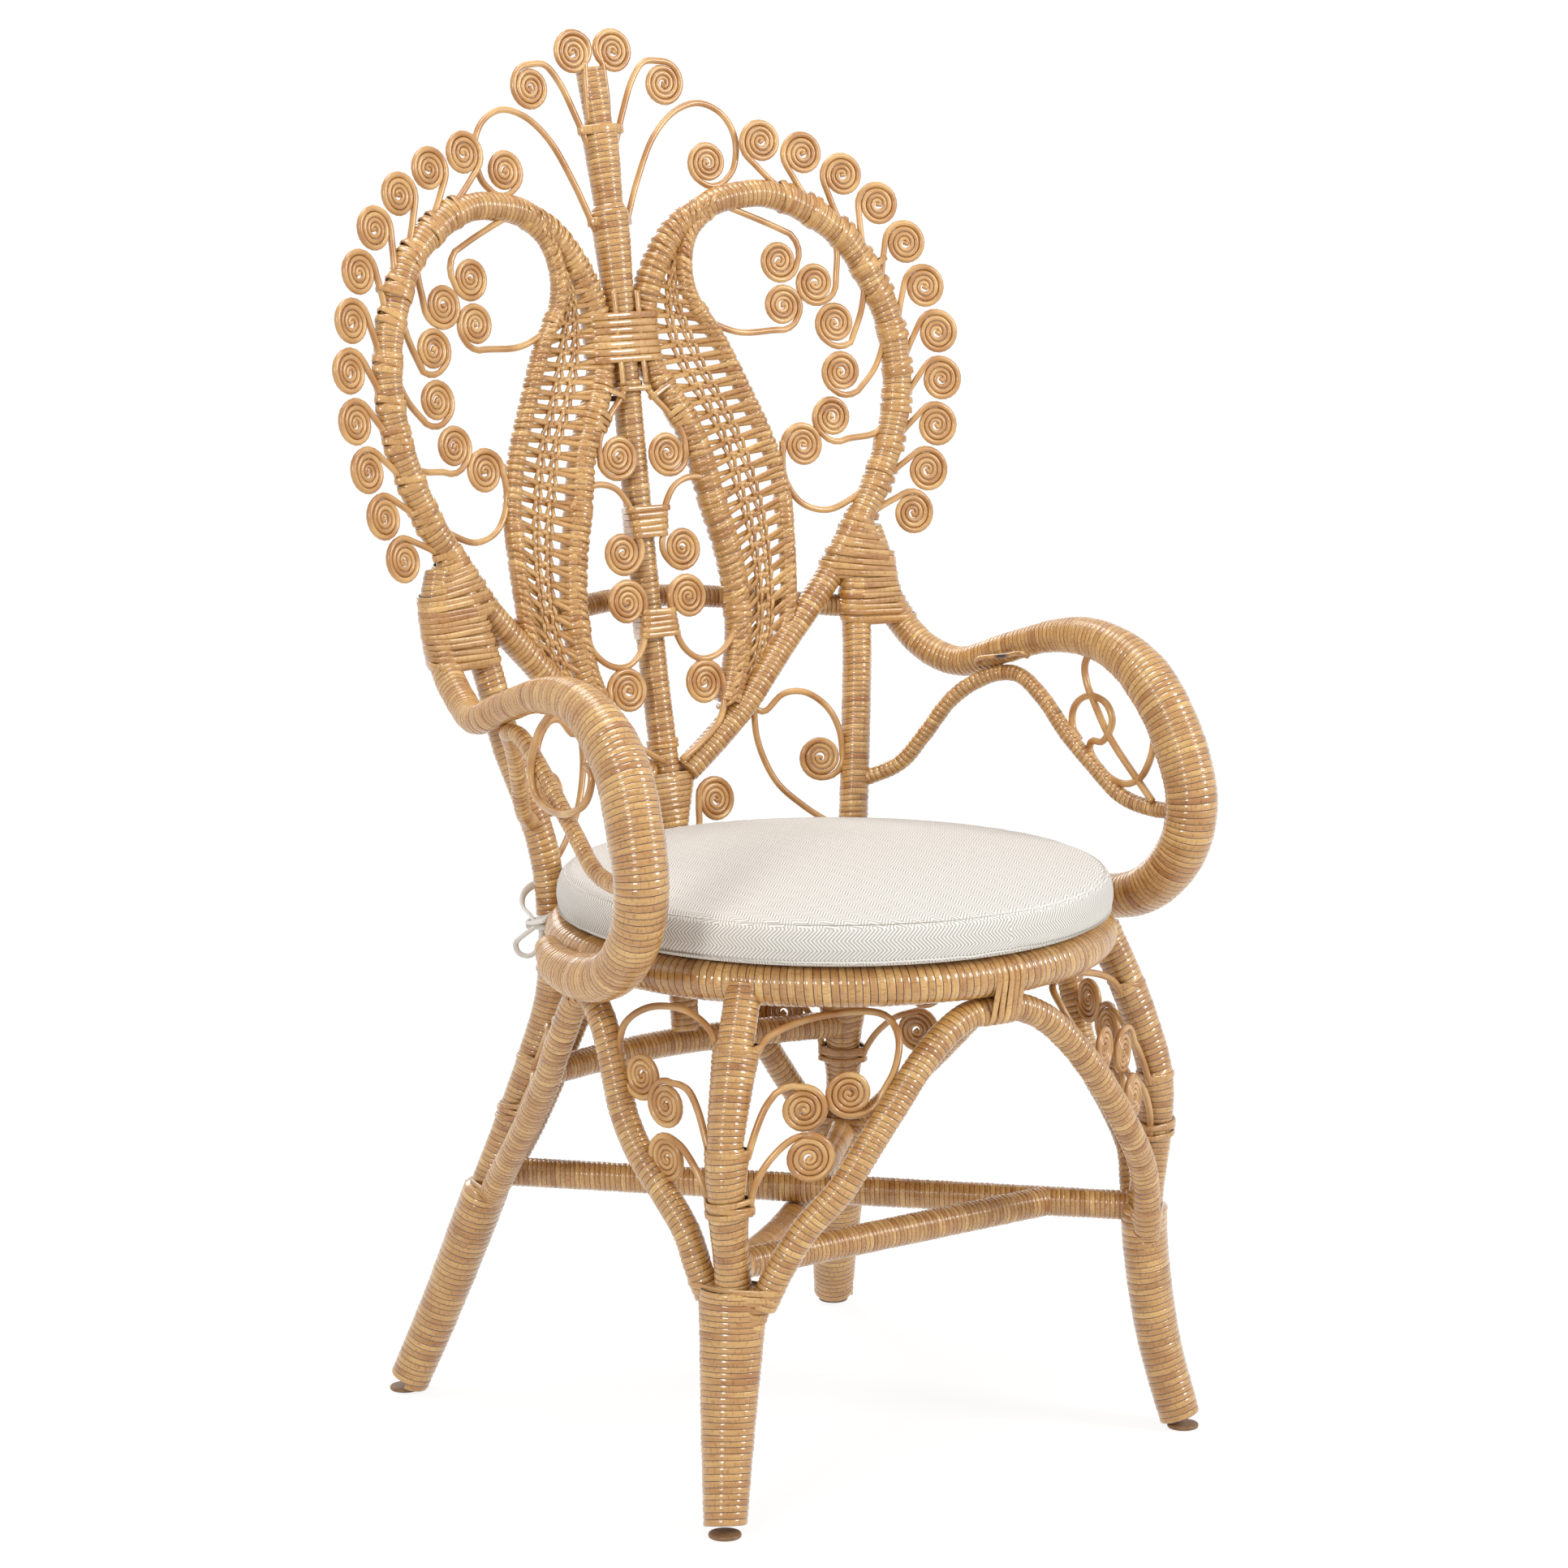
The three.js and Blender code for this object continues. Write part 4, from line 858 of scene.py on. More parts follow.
def stretcherPath(side, rises):
    front = point(side * stretchers["frontHold"][0] * legs["frontSpread"],
                  stretchers["frontHold"][1] * legs["frontReach"], stretchers["height"] + rises[0])
    rear = point(-side * stretchers["rearHold"][0] * legs["rearSpread"],
                 stretchers["rearHold"][1] * legs["rearReach"], stretchers["height"] + rises[2])
    middle = front + (rear - front) * front[0] / (front[0] - rear[0])
    middle[2] = stretchers["height"] + rises[1]
    return smoothPath([front, middle, rear])


rails = {
    "rearRadius": 0.013, "rearPitch": 0.005,
    "rearEnds": (0.705, 0.578),
    "rearSetBack": 0.010,
    "backRadius": 0.0105, "backPitch": 0.0046,
    "backEnds": (0.66, 0.573),
    "backBow": 0.036,
}


def rearRailPath():
    height = post["tailHeight"] - post["radius"]

    def end(side):
        return point(side * rails["rearEnds"][0] * legs["rearSpread"],
                     rails["rearEnds"][1] * legs["rearReach"], height)
    bow = post["tailY"] + post["radius"] + rails["rearSetBack"]
    return smoothPath([end(-1), point(0, bow, height), end(1)])


def backRailPath():
    out, up = rails["backEnds"]
    ends = [fanSpot(side, out, up, -rails["backRadius"]) for side in (-1, 1)]
    return smoothPath([ends[0], fanSpot(1, 0, up * 1.03, -rails["backBow"]), ends[1]])


# materials

def windingMaterial(name, light, deep, scar, gloss):
    # rattan peel: the outer skin of the cane, split into flat strips, wound tight and lacquered;
    # it shows long fibres along each strip, small leaf scars, painted shade in the gaps between turns and a
    # wet shine
    made, tree = newMaterial(name)
    _, roundPole, turn = mapAxes(tree, "windings")
    across = mathOf(tree, "FRACT", turn)
    along = mathOf(tree, "ADD", mathOf(tree, "FLOOR", turn), roundPole)
    tone = noiseAt(tree, stretched(tree, (along, 1.37)), 2.0, 0.6)
    fibre = noiseAt(tree, stretched(tree, (along, 2.2), (across, 11.0)), 3.0, 0.65)
    scars = noiseAt(tree, stretched(tree, (along, 5.3), (turn, 1.7)), 1.0)
    ticks = noiseAt(tree, stretched(tree, (roundPole, 64.0), (turn, 1.3)), 2.0)
    colour = mixed(tree, rangeOf(tree, tone, 0.35, 0.65), linear(light), linear(deep))
    for share, shade in ((rangeOf(tree, fibre, 0.42, 0.72, toHigh=0.6), "#C99C68"),
                         (rangeOf(tree, ticks, 0.52, 0.68, toHigh=0.5), "#B98A58")):
        colour = mixed(tree, share, colour, linear(shade), "MULTIPLY")
    colour = mixed(tree, rangeOf(tree, scars, 0.71, 0.78, toHigh=0.55), colour, linear(scar))
    # painted shade: near-black brown at each strip's edges, where the turns meet
    paintedGapShade = rangeOf(tree, mathOf(tree, "PINGPONG", across, 0.5), 0.04, 0.14, 1.0, 0.0,
                  {"interpolation_type": "SMOOTHSTEP"})
    return skinned(made, color=mixed(tree, paintedGapShade, colour, linear("#2E1405")),
                   rough=rangeOf(tree, fibre, toLow=gloss - 0.06, toHigh=gloss + 0.16),
                   normal=bumped(tree, fibre, 0.25, 0.0004), ior=1.5, coat=1.0, coatRough=0.09, specular=0.5)


def caneMaterial(name, light, deep, gloss):
    # round core cane, bent by steam and lacquered: pale, with fine pores along its length
    made, tree = newMaterial(name)
    _, roundCane, run = mapAxes(tree, "windings")
    pores = noiseAt(tree, stretched(tree, (roundCane, 16.0), (run, 5.0)), 3.0, 0.6)
    tone = addNode(tree, "ShaderNodeTexNoise", {"noise_dimensions": "1D"},
                   {"W": run, "Scale": 2.4, "Detail": 1.0}).outputs[0]
    colour = mixed(tree, rangeOf(tree, tone, 0.35, 0.65), linear(light), linear(deep))
    share = rangeOf(tree, pores, 0.45, 0.75, toHigh=0.55)
    return skinned(made, color=mixed(tree, share, colour, linear("#C89B68"), "MULTIPLY"), rough=gloss,
                   normal=bumped(tree, pores, 0.2, 0.0003), ior=1.5, coat=0.6, coatRough=0.18)


peel = windingMaterial("lacquered rattan peel, wound", "#E2B872", "#AD7534", "#6E4119", 0.36)
coreCane = caneMaterial("lacquered round rattan core", "#D6AA6C", "#B68043", 0.36)
print("rattan materials made")


# the wound poles

def pole(node, parts):
    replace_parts(meshPiece(node + "_wound", parts, peel), node)


hoopLine = hoopPath()
pole("seat_hoop", [woundPart(hoopLine, hoop["pole"], hoop["pitch"], seed=5, sides=20)])

lines = {"archFront": archPath(True), "archRear": archPath(False)}
for word, side in bothSides:
    lines["sideArch", side] = sideArchPath(side)


def legFaces(front, side):
    # the two arches that end on a leg, from their tops down
    across, beside = lines["archFront" if front else "archRear"], lines["sideArch", side]
    middle, half = len(across) // 2, len(beside) // 2
    return [across[middle:] if side > 0 else across[:middle], beside[:half] if front else beside[half:]]


def towardArch(leg, arch, height):
    # the leg's middle at a height, and the level way from there to the arch
    onLeg = nearHeight(leg, height)
    return onLeg, unit((nearHeight(arch, min(height, arches["top"])) - onLeg) * np.array([1, 1, 0]))


for front, side, name in fourLegs:
    line = legPath(front, side)
    line = line[line[:, 2] > legs["glideTop"]]
    bulges = []
    for arch in legFaces(front, side):
        for top, foot, swell in legs["sleeves"]:
            onLeg, way = towardArch(line, arch, top * legs["height"])
            sleeveEnd = runNear(line, nearHeight(line, foot * legs["height"]))
            bulges.append((runNear(line, onLeg), sleeveEnd, way, swell))
    pole("leg_" + name, [woundPart(line, legs["radius"], legs["pitch"], widths=legs["widths"], bulges=bulges,
                                   across=(side, 1 if front else -1, 0), seed=11 + side + 2 * front,
                                   sides=20)])

postLine = postPath()
pole("centre_post", [woundPart(postLine, post["radius"], post["pitch"], widths=post["widths"],
                               across=(1, 0, 0), seed=21)])

outerCurls = {
    "shares": [(0.506, 0.928), (0.635, 0.918), (0.754, 0.901), (0.856, 0.878), (0.928, 0.848), (0.973, 0.814),
               (1, 0.779), (0.997, 0.743), (0.97, 0.708), (0.928, 0.674), (0.871, 0.642)],
    "lead": 0.026,  # how far down the pole a stem goes under the peel
    "tuck": 0.024,
    "sleeve": 0.038,  # the peel over a stem swells the pole, and eases off over this length
    "swell": 0.0042,
}


def curlLandings(side):
    # where on the loop each outer curl's cane goes under the peel
    loopLine = lines["loop", side]
    half = loopLine[:int(len(loopLine) * 0.56)]
    found = []
    for share in outerCurls["shares"]:
        centre = fanSpot(side, *share)
        s = runNear(half, centre) - outerCurls["lead"]
        found.append((s, centre - placeAt(loopLine, s)))
    return found


for word, side in bothSides:
    lines["loop", side] = fanPath(loops["outer"] + loops["inner"], side)
    lines["edge", side] = fanPath(panelEdge["shares"], side)
    lines["rearPost", side] = rearPostPath(side)
    lines["arm", side] = armPath(side)
    lines["brace", side] = bracePath(side)
    bulges = [(s, s - outerCurls["sleeve"], unit(way), outerCurls["swell"]) for s, way in curlLandings(side)]
    pole("loop_pole_" + word, [woundPart(lines["loop", side], loops["radius"], loops["pitch"], bulges=bulges,
                                         seed=31 + side)])
    pole("panel_edge_" + word, [woundPart(lines["edge", side], panelEdge["radius"], panelEdge["pitch"],
                                          seed=35 + side, sides=12)])
    pole("rear_post_" + word, [woundPart(lines["rearPost", side], rearPost["radius"], rearPost["pitch"],
                                         seed=39 + side)])
    pole("arm_" + word, [woundPart(lines["arm", side], arms["radius"], arms["pitch"], widths=arms["widths"],
                                   seed=43 + side, sides=20)])
    pole("arm_brace_" + word, [woundPart(lines["brace", side], braces["radius"], braces["pitch"],
                                         seed=47 + side, sides=12)])
    pole("arch_side_" + word, [woundPart(lines["sideArch", side], arches["radius"], arches["pitch"],
                                         seed=51 + side)])
pole("arch_front", [woundPart(lines["archFront"], arches["radius"], arches["pitch"], seed=61)])
pole("arch_rear", [woundPart(lines["archRear"], arches["radius"], arches["pitch"], seed=62)])

slope = stretchers["slope"]
upperLine = stretcherPath(1, [-slope, 0, slope])
lowerLine = stretcherPath(-1, [slope, -stretchers["drop"], -2 * slope])
ends = [line[int(share * len(line))] for share, line in zip(stretchers["frontEnds"], (lowerLine, upperLine))]
frontLine = smoothPath([ends[0], (ends[0] + ends[1]) / 2, ends[1]])
for number, (node, line) in enumerate([("stretcher_upper", upperLine), ("stretcher_lower", lowerLine),
                                       ("stretcher_front", frontLine)]):
    pole(node, [woundPart(line, stretchers["radius"], stretchers["pitch"], seed=65 + number)])
pole("rear_rail", [woundPart(rearRailPath(), rails["rearRadius"], rails["rearPitch"], seed=71)])
pole("back_rail", [woundPart(backRailPath(), rails["backRadius"], rails["backPitch"], seed=72)])
print("wound poles made")


# the coiled canes

innerCurls = {
    "curls": [
        ((0.527, 0.838), [(0.36, 0.882), (0.49, 0.868), (0.572, 0.858)]),
        ((0.635, 0.82), [(0.65, 0.872), (0.712, 0.85), (0.703, 0.822)]),
        ((0.524, 0.804), [(0.24, 0.8), (0.37, 0.786), (0.5, 0.786)]),
        ((0.686, 0.789), [(0.8, 0.832), (0.775, 0.8), (0.73, 0.774)]),
        ((0.692, 0.752), [(0.85, 0.785), (0.8, 0.755), (0.738, 0.737)]),
        ((0.647, 0.718), [(0.845, 0.733), (0.79, 0.706), (0.69, 0.701)]),
        ((0.545, 0.698), [(0.452, 0.645), (0.462, 0.68), (0.482, 0.696)]),
    ],
    "arc": [(0.48, 0.702), (0.476, 0.675), (0.52, 0.655), (0.6, 0.648), (0.68, 0.655), (0.75, 0.668),
            (0.78, 0.678)],
}
crest = {
    "top": ((0.068, 0.998), [(0.03, 0.945), (0.034, 0.965), (0.03, 0.99)]),
    "middle": ((0.226, 0.9735), [(0.045, 0.928), (0.085, 0.955), (0.125, 0.977), (0.17, 0.99),
                                (0.226, 0.9903)]),
    "lower": ((0.346, 0.913), [(0.05, 0.866), (0.11, 0.903), (0.18, 0.935), (0.26, 0.953), (0.34, 0.958),
                               (0.41, 0.949), (0.444, 0.931), (0.43, 0.908), (0.396, 0.8985)]),
}


def coilsPiece(node, parts):
    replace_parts(meshPiece(node + "_coiled", parts, coreCane), node)


seeds = random.Random(7)


def coiled(centre, normal, stem, radius=None):
    return coilPart(centre, normal, stem, radius, seeds.randrange(99))


def plainCane(places):
    return canePart(smoothPath(places, 0.004), cane["thick"], seed=seeds.randrange(99))


def crestCoil(side, key, radius=None):
    (out, up), stemShares = crest[key]
    stem = [fanSpot(side, *share, -fan["crestSetBack"]) for share in stemShares]
    normal = fanNormal(side, 0 if key == "top" else out)
    return coiled(fanSpot(side, out, up, -fan["crestSetBack"]), normal, stem, radius)


for word, side in bothSides:
    loopLine = lines["loop", side]
    parts = []
    for share, (s, _) in zip(outerCurls["shares"], curlLandings(side)):
        centre, normal = fanSpot(side, *share), fanNormal(side, share[0])
        landing, deeper = placeAt(loopLine, s), placeAt(loopLine, s - outerCurls["tuck"])
        ahead = unit(landing - deeper)
        skin = unit(centre - landing) * (loops["radius"] + 0.001)
        inside = unit(centre - deeper - ahead * ((centre - deeper) @ ahead)) * loops["radius"] * 0.6
        rim = tangentStem(centre, normal, landing + skin, ahead)
        stem = [deeper + inside, landing + unit(skin) * loops["radius"] * 0.95, rim]
        parts.append(coiled(centre, normal, stem))
    coilsPiece("outer_curls_" + word, parts)
    parts = []
    for centre, stem in innerCurls["curls"]:
        stem = [fanSpot(side, *share) for share in stem]
        parts.append(coiled(fanSpot(side, *centre), fanNormal(side, centre[0]), stem))
    parts.append(plainCane([fanSpot(side, *share) for share in innerCurls["arc"]]))
    coilsPiece("inner_curls_" + word, parts)
    for key in ("middle", "lower"):
        coilsPiece("crest_" + key + "_curl_" + word, [crestCoil(side, key)])
coilsPiece("crest_top_curls", [crestCoil(side, "top", cane["crestCoil"]) for _, side in bothSides])

centreCurls = {
    "ahead": post["radius"] + cane["thick"] + 0.0013 - fan["postSetBack"],
    "knot": ((0.084, 0.7), [(0.036, 0.75), (0.062, 0.741), (0.108, 0.728), (0.145, 0.712), (0.146, 0.695)]),
    "curls": [
        ((0.102, 0.629), [(0.27, 0.664), (0.22, 0.677), (0.16, 0.681), (0.1, 0.676), (0.058, 0.66),
                          (0.043, 0.64)]),
        ((0.105, 0.592), [(0.26, 0.575), (0.24, 0.56), (0.19, 0.548), (0.13, 0.545), (0.08, 0.553),
                          (0.05, 0.57), (0.043, 0.59)]),
        ((0.132, 0.527), [(0.03, 0.472), (0.1, 0.483), (0.17, 0.498), (0.195, 0.515), (0.194, 0.53)]),
    ],
}
hearts = {
    "root": 0.313,
    "turn": 0.35,  # how fast they leave the fan for the rear posts
    "top": [(0.29, 0.506), (0.327, 0.5), (0.384, 0.513), (0.44, 0.514), (0.497, 0.502), (0.523, 0.484),
            (0.525, 0.462)],
    "low": [(0.3, 0.508), (0.302, 0.478), (0.343, 0.447), (0.408, 0.428), (0.49, 0.411)],
    "curl": (0.467, 0.464),
}
baseCurl = ((0.141, 0.438), [(0.045, 0.407), (0.075, 0.418), (0.082, 0.434), (0.088, 0.446)])


def heartSpot(side, out, up):
    return fanSpot(side, out, up, max(out - hearts["root"], 0) * fan["halfWidth"] * hearts["turn"])


for word, side in bothSides:
    def ahead(share):
        return fanSpot(side, share[0], share[1], centreCurls["ahead"])
    flat = fanNormal(side, 0)
    for node, curls in (("knot_curl_", [centreCurls["knot"]]), ("centre_scrolls_", centreCurls["curls"])):
        coilsPiece(node + word, [coiled(ahead(centre), flat, [ahead(s) for s in stem])
                                 for centre, stem in curls])
    turned = fanNormal(side, hearts["curl"][0]) - np.array([side * hearts["turn"], 0, 0])
    top, low = ([heartSpot(side, *s) for s in hearts[key]] for key in ("top", "low"))
    centre = heartSpot(side, *hearts["curl"])
    coilsPiece("heart_scroll_" + word, [coiled(centre, turned, top), plainCane(low)])
    stem = [fanSpot(side, *s) for s in baseCurl[1]]
    coilsPiece("base_curl_" + word, [coiled(fanSpot(side, *baseCurl[0]), flat, stem)])
    canes = [smoothPath([armSpot(side, s[2] if len(s) > 2 else armScrolls["out"], s[0], s[1])
                         for s in armScrolls[key]], 0.003)
             for key in (("rod", "bend") if side > 0 else ("hook",))]
    coilsPiece("arm_scroll_" + word, [canePart(line, cane["thick"] * cane["armShare"], seed=81 + k)
                                      for k, line in enumerate(canes)])

legCurls = {
    # the face towards the front or rear arch, then the face on the chair's side
    "faces": [
        [((0.65, 0.8), [(0, 0.87), (0.05, 0.9), (0.27, 0.932), (0.52, 0.927), (0.75, 0.893), (0.86, 0.84),
                        (0.87, 0.8)]),
         ((0.37, 0.775), [(0, 0.69), (0.05, 0.735), (0.09, 0.77), (0.12, 0.79)]),
         ((0.54, 0.69), [(0, 0.585), (0.06, 0.635), (0.19, 0.685), (0.34, 0.722), (0.46, 0.732)])],
        [((0.72, 0.805), [(0, 0.87), (0.05, 0.9), (0.27, 0.932), (0.56, 0.927), (0.8, 0.893), (0.91, 0.845),
                          (0.91, 0.805)]),
         ((0.48, 0.762), [(0, 0.69), (0.06, 0.725), (0.15, 0.768), (0.25, 0.797), (0.38, 0.805)]),
         ((0.6, 0.664), [(0, 0.585), (0.06, 0.61), (0.18, 0.652), (0.35, 0.692), (0.5, 0.706)])],
    ],
    "collars": [(0.885, 1, 0.0), (0.705, 1, 0.02), (0.612, 3, 0.12)],  # height, strips, slant
}


def legSpot(leg, arch, across, up):
    # a place between a leg and an arch: share of the way across, share of the leg's height
    height = up * legs["height"]
    onLeg = nearHeight(leg[int(len(leg) * 0.3):], height)
    toArch = nearHeight(arch, min(height, arches["top"])) - onLeg
    width, out = np.linalg.norm(toArch), legs["radius"] + cane["thick"]
    spot = onLeg + toArch * (out + across * (width - out)) / width
    spot[2] = height
    return spot


for front, side, name in fourLegs:
    leg = legPath(front, side)
    parts = []
    for arch, curls in zip(legFaces(front, side), legCurls["faces"]):
        flat = legSpot(leg, arch, 1, 0.75) - legSpot(leg, arch, 0, 0.75)
        normal = unit(np.cross(flat, (0, 0, 1)))
        for centre, stem in curls:
            stem = [legSpot(leg, arch, *share) for share in stem]
            parts.append(coiled(legSpot(leg, arch, *centre), normal, stem, cane["legCoil"]))
    coilsPiece("leg_scrolls_" + name, parts)
print("coiled canes made")


# bindings of peel round poles and canes that lie together

bindReach = 0.1  # poles farther away than this aren't bound in


def bind(guide, radius, spot, reach, poles=(), pitch=0.0052, canes=True, seed=3, room=3, **strips):
    # strips side by side over a width of the guiding pole, about the place nearest to a spot, round the pole,
    # the poles given as (line, radius) and the canes that run beside it
    middle = runNear(guide, spot)
    centre = placeAt(guide, middle)
    others = list(poles)
    for line in canesMade if canes else ():
        if np.min(np.linalg.norm(line - centre, axis=1)) < radius + room * cane["thick"]:
            others.append((line, cane["thick"]))
    dice = random.Random(seed)
    along = unit(np.gradient(guide, axis=0))
    run = runOf(guide)
    count = max(1, round(reach / pitch))
    parts = []
    for k in range(count):
        s = middle - reach / 2 + reach * (k + 0.5) / count
        centre, axis = placeAt(guide, s), unit(sampled(along, run, s))
        circles = [(centre, radius)]
        for line, thickness in others:
            spot = crossing(line, centre, axis)
            near = bindReach if thickness > cane["thick"] else radius + room * thickness
            if spot is not None and np.linalg.norm(spot - centre) < near:
                circles.append((spot, thickness))
        parts.append(stripPart(centre, axis, circles, tilt=dice.uniform(-0.03, 0.03),
                               lean=dice.uniform(0, 6.28), lift=dice.uniform(0, 0.0004), **strips))
    return parts


def bindingPiece(name, parts):
    return meshPiece(name, parts, peel)


def ribbonPart(line, sideways, halfWide, halfThick, sides=6):
    # a flat strip along a line; its flat sides look across sideways
    _, side, lift = framesOf(line, sideways)
    angle = 2 * math.pi * (np.arange(sides) + 0.5) / sides
    square = np.sign(np.cos(angle)) * np.abs(np.cos(angle)) ** 0.6
    places = (line[:, None] + side[:, None] * (square * halfWide)[None, :, None]
              + lift[:, None] * (np.sin(angle) * halfThick)[None, :, None])
    run = runOf(line)
    first = turnsUsed[0]
    turnsUsed[0] += 2
    # with the peel, the ribbon's edges fall in its painted gap shade
    lift01 = (np.cos(np.append(angle, angle[0])) * 0.44 + 0.5)

    def uvAt(q, j):
        return np.stack([run[q] * 8, np.full(len(q), first + lift01[j])], 1)

    return closedTube(places, uvAt, line[[0, -1]], (0.5, first + 0.5))


armJunction = {
    "top": 0.803,
    "foot": 0.703,
    "pitch": 0.0049,
    "fall": 0.3,  # how steeply the topmost strips fall outwards
    "gathered": 7,
    "room": {"rear": 0.07, "loop": 0.042},  # poles farther than this from the arm aren't wrapped in
    # a cane that holds the brace to the arm, in shares of the arm
    "strap": [(0.866, 0.265, 0.834), (0.854, 0.245, 0.858), (0.85, 0.184, 0.874), (0.85, 0.033, 0.898),
              (0.85, -0.05, 0.916), (0.854, -0.085, 0.918), (0.866, -0.1, 0.905)],
}
# where canes are bound to the loop and to the panel's edge: shares of the fan, and the width bound
loopBindings = {
    "inner": [(0.15, 0.757, 0.012), (0.15, 0.7285, 0.018)],
    "edge": [(0.36, 0.884, 0.011), (0.24, 0.801, 0.011), (0.452, 0.65, 0.026)],
    "outer": [(0.65, 0.871, 0.011), (0.8, 0.832, 0.011), (0.85, 0.785, 0.011), (0.845, 0.733, 0.011),
              (0.78, 0.678, 0.011)],
    "low": [(0.27, 0.664, 0.012), (0.262, 0.577, 0.012)],
}
loopR, edgeR, postR = loops["radius"], panelEdge["radius"], post["radius"]
for word, side in bothSides:
    loopLine, arm, rear = lines["loop", side], lines["arm", side], lines["rearPost", side]
    parts = []
    for s, toCurl in curlLandings(side):
        spot, way = placeAt(loopLine, s), unit(toCurl)
        axis = unit(placeAt(loopLine, s + 0.002) - spot)
        beside = spot + way * (loopR + cane["thick"] * 0.9)
        for shift, tilt in ((0.001, 0.32), (-0.0052, 0.12)):
            parts.append(stripPart(spot + axis * shift, unit(axis - way * tilt),
                                   [(spot, loopR), (beside, cane["thick"])], width=0.0064, thick=0.0014))
    bindingPiece("curl_bindings_" + word, parts)

    parts = []
    length = len(loopLine)
    guides = {"inner": (loopLine[int(length * 0.5):], loopR, 5), "edge": (lines["edge", side], edgeR, 6),
              "outer": (loopLine[:int(length * 0.56)], loopR, 7),
              "low": (loopLine[int(length * 0.6):], loopR, 8)}
    for key, (guide, radius, seed) in guides.items():
        for out, up, width in loopBindings[key]:
            parts += bind(guide, radius, fanSpot(side, out, up), width, seed=seed)
    bindingPiece("loop_bindings_" + word, parts)

    # where the arm, the loop and the rear post come together
    loopOuter = loopLine[:int(len(loopLine) * 0.5)]
    count = int((armJunction["top"] - armJunction["foot"]) / armJunction["pitch"])
    parts = []
    for k in range(count):
        height = armJunction["top"] - (k + 0.5) * armJunction["pitch"]
        centre = nearHeight(arm[:len(arm) // 4], height)
        centre = centre + np.array([0, 0, height - centre[2]])
        axis = unit(np.array([side * armJunction["fall"] * (1 - k / count) ** 1.5, 0, 1]))
        onLoop = crossing(loopOuter, centre, axis)
        gather = max(0, 1 - k / armJunction["gathered"])  # the first strips close up on the loop
        circles = slantedCircles(arm, centre, axis, arms["radius"])
        for key, line, thickness in (("rear", rear, rearPost["radius"]), ("loop", loopOuter, loopR)):
            circles += [(spot, r) for spot, r in slantedCircles(line, centre, axis, thickness)
                        if np.linalg.norm(spot - centre) < armJunction["room"][key] + thickness]
        circles = [(spot + (onLoop - spot) * gather * 0.85, r * (1 - 0.15 * gather)) for spot, r in circles]
        circles += [(onLoop, loopR)] if gather else []
        parts.append(stripPart(centre, axis, circles, width=0.0056, tilt=0.05 * math.sin(k * 1.7), lean=k,
                               lift=0.0002 + 0.0003 * (k % 3)))
        parts.append(stripPart(centre - axis * 0.0025, axis, circles, width=0.006, lift=-0.0012))
    parts.append(lidPart(centre, axis, circles, 0.003))
    bindingPiece("arm_junction_" + word, parts)
    strap = smoothPath([armSpot(side, *share) for share in armJunction["strap"]], 0.002)
    bindingPiece("arm_strap_" + word, [canePart(strap, 0.0024, seed=5)])

# the post's collars and bindings: height in shares of the fan, width bound, pitch, and how many canes' width
# beside the post is taken in
postBindings = [(0.9405, 0.0085, 0.0085, 3), (0.8725, 0.0085, 0.0085, 3), (0.749, 0.01, 0.005, 5),
                (0.648, 0.03, 0.006, 5), (0.5725, 0.027, 0.0055, 5), (0.482, 0.009, 0.0045, 5)]
parts = []
for up, width, pitch, room in postBindings:
    parts += bind(postLine, postR * 1.02, fanSpot(1, 0, up, -fan["postSetBack"]), width, pitch=pitch,
                  width=pitch * 1.02, thick=0.0017, room=room, seed=9)
bindingPiece("post_bindings", parts)
# the loops' ends are bound to the post under peel that tapers down it
vBinding = {
    "rows": [(0.402, 1.05, 1.05), (0.418, 1.3, 1.1), (0.435, 1.75, 1.13), (0.452, 2.25, 1.13),
             (0.461, 2.5, 1.05)],
    "pitch": 0.0052,
}
low, high = vBinding["rows"][0][0], vBinding["rows"][-1][0]
line = smoothPath([fanSpot(1, 0, up, -fan["postSetBack"] * 0.85) for up in (low, (low + high) / 2, high)])
widths = [((up - low) / (high - low), wide, deep) for up, wide, deep in vBinding["rows"]]
bindingPiece("v_binding", [woundPart(line, postR, vBinding["pitch"], widths=widths, across=(1, 0, 0), seed=91,
                                     sides=24)])
print("back bindings made")


# the woven tie round both loops and the post

centreTie = {
    "upShare": 0.787,
    "strips": 7,
    "pitch": 0.0068,
    "uprights": (-0.0135, 0.0125),
    "uprightHeight": 0.088,
    "uprightWidth": 0.0062,
}


tieMiddle = fanSpot(1, 0, centreTie["upShare"])
tieAxis = unit(np.array([0, fan["lean"], 1.0]))
parts = []
for k in range(centreTie["strips"]):
    centre = tieMiddle + tieAxis * centreTie["pitch"] * (k - (centreTie["strips"] - 1) / 2)
    circles = []
    for line, radius in ((lines["loop", 1], loopR), (lines["loop", -1], loopR), (postLine, postR)):
        inner = line[int(len(line) * 0.5):] if radius == loopR else line
        spot = crossing(inner, centre, tieAxis)
        if spot is not None:
            circles.append((spot, radius))
    parts.append(stripPart(centre, tieAxis, circles, width=0.0064, thick=0.0015, lift=0.0012))
front = min(c[0][1] - c[1] for c in circles) - tieMiddle[1] - 0.003
for x in centreTie["uprights"]:
    heights = np.linspace(-0.5, 0.5, 25) * centreTie["uprightHeight"]
    line = []
    for h in heights:
        wave = math.cos(h / centreTie["pitch"] * math.pi) * 0.0012 if abs(h) < 0.024 else -0.0012
        line.append(tieMiddle + tieAxis * h + np.array([x, front + wave, 0]))
    parts.append(ribbonPart(smoothPath(line, 0.003), (1, 0, 0), centreTie["uprightWidth"] / 2, 0.001))
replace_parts(meshPiece("centre_tie_woven", parts, peel), "centre_tie")


# the woven panels: flat peel from pole to pole over and under four uprights

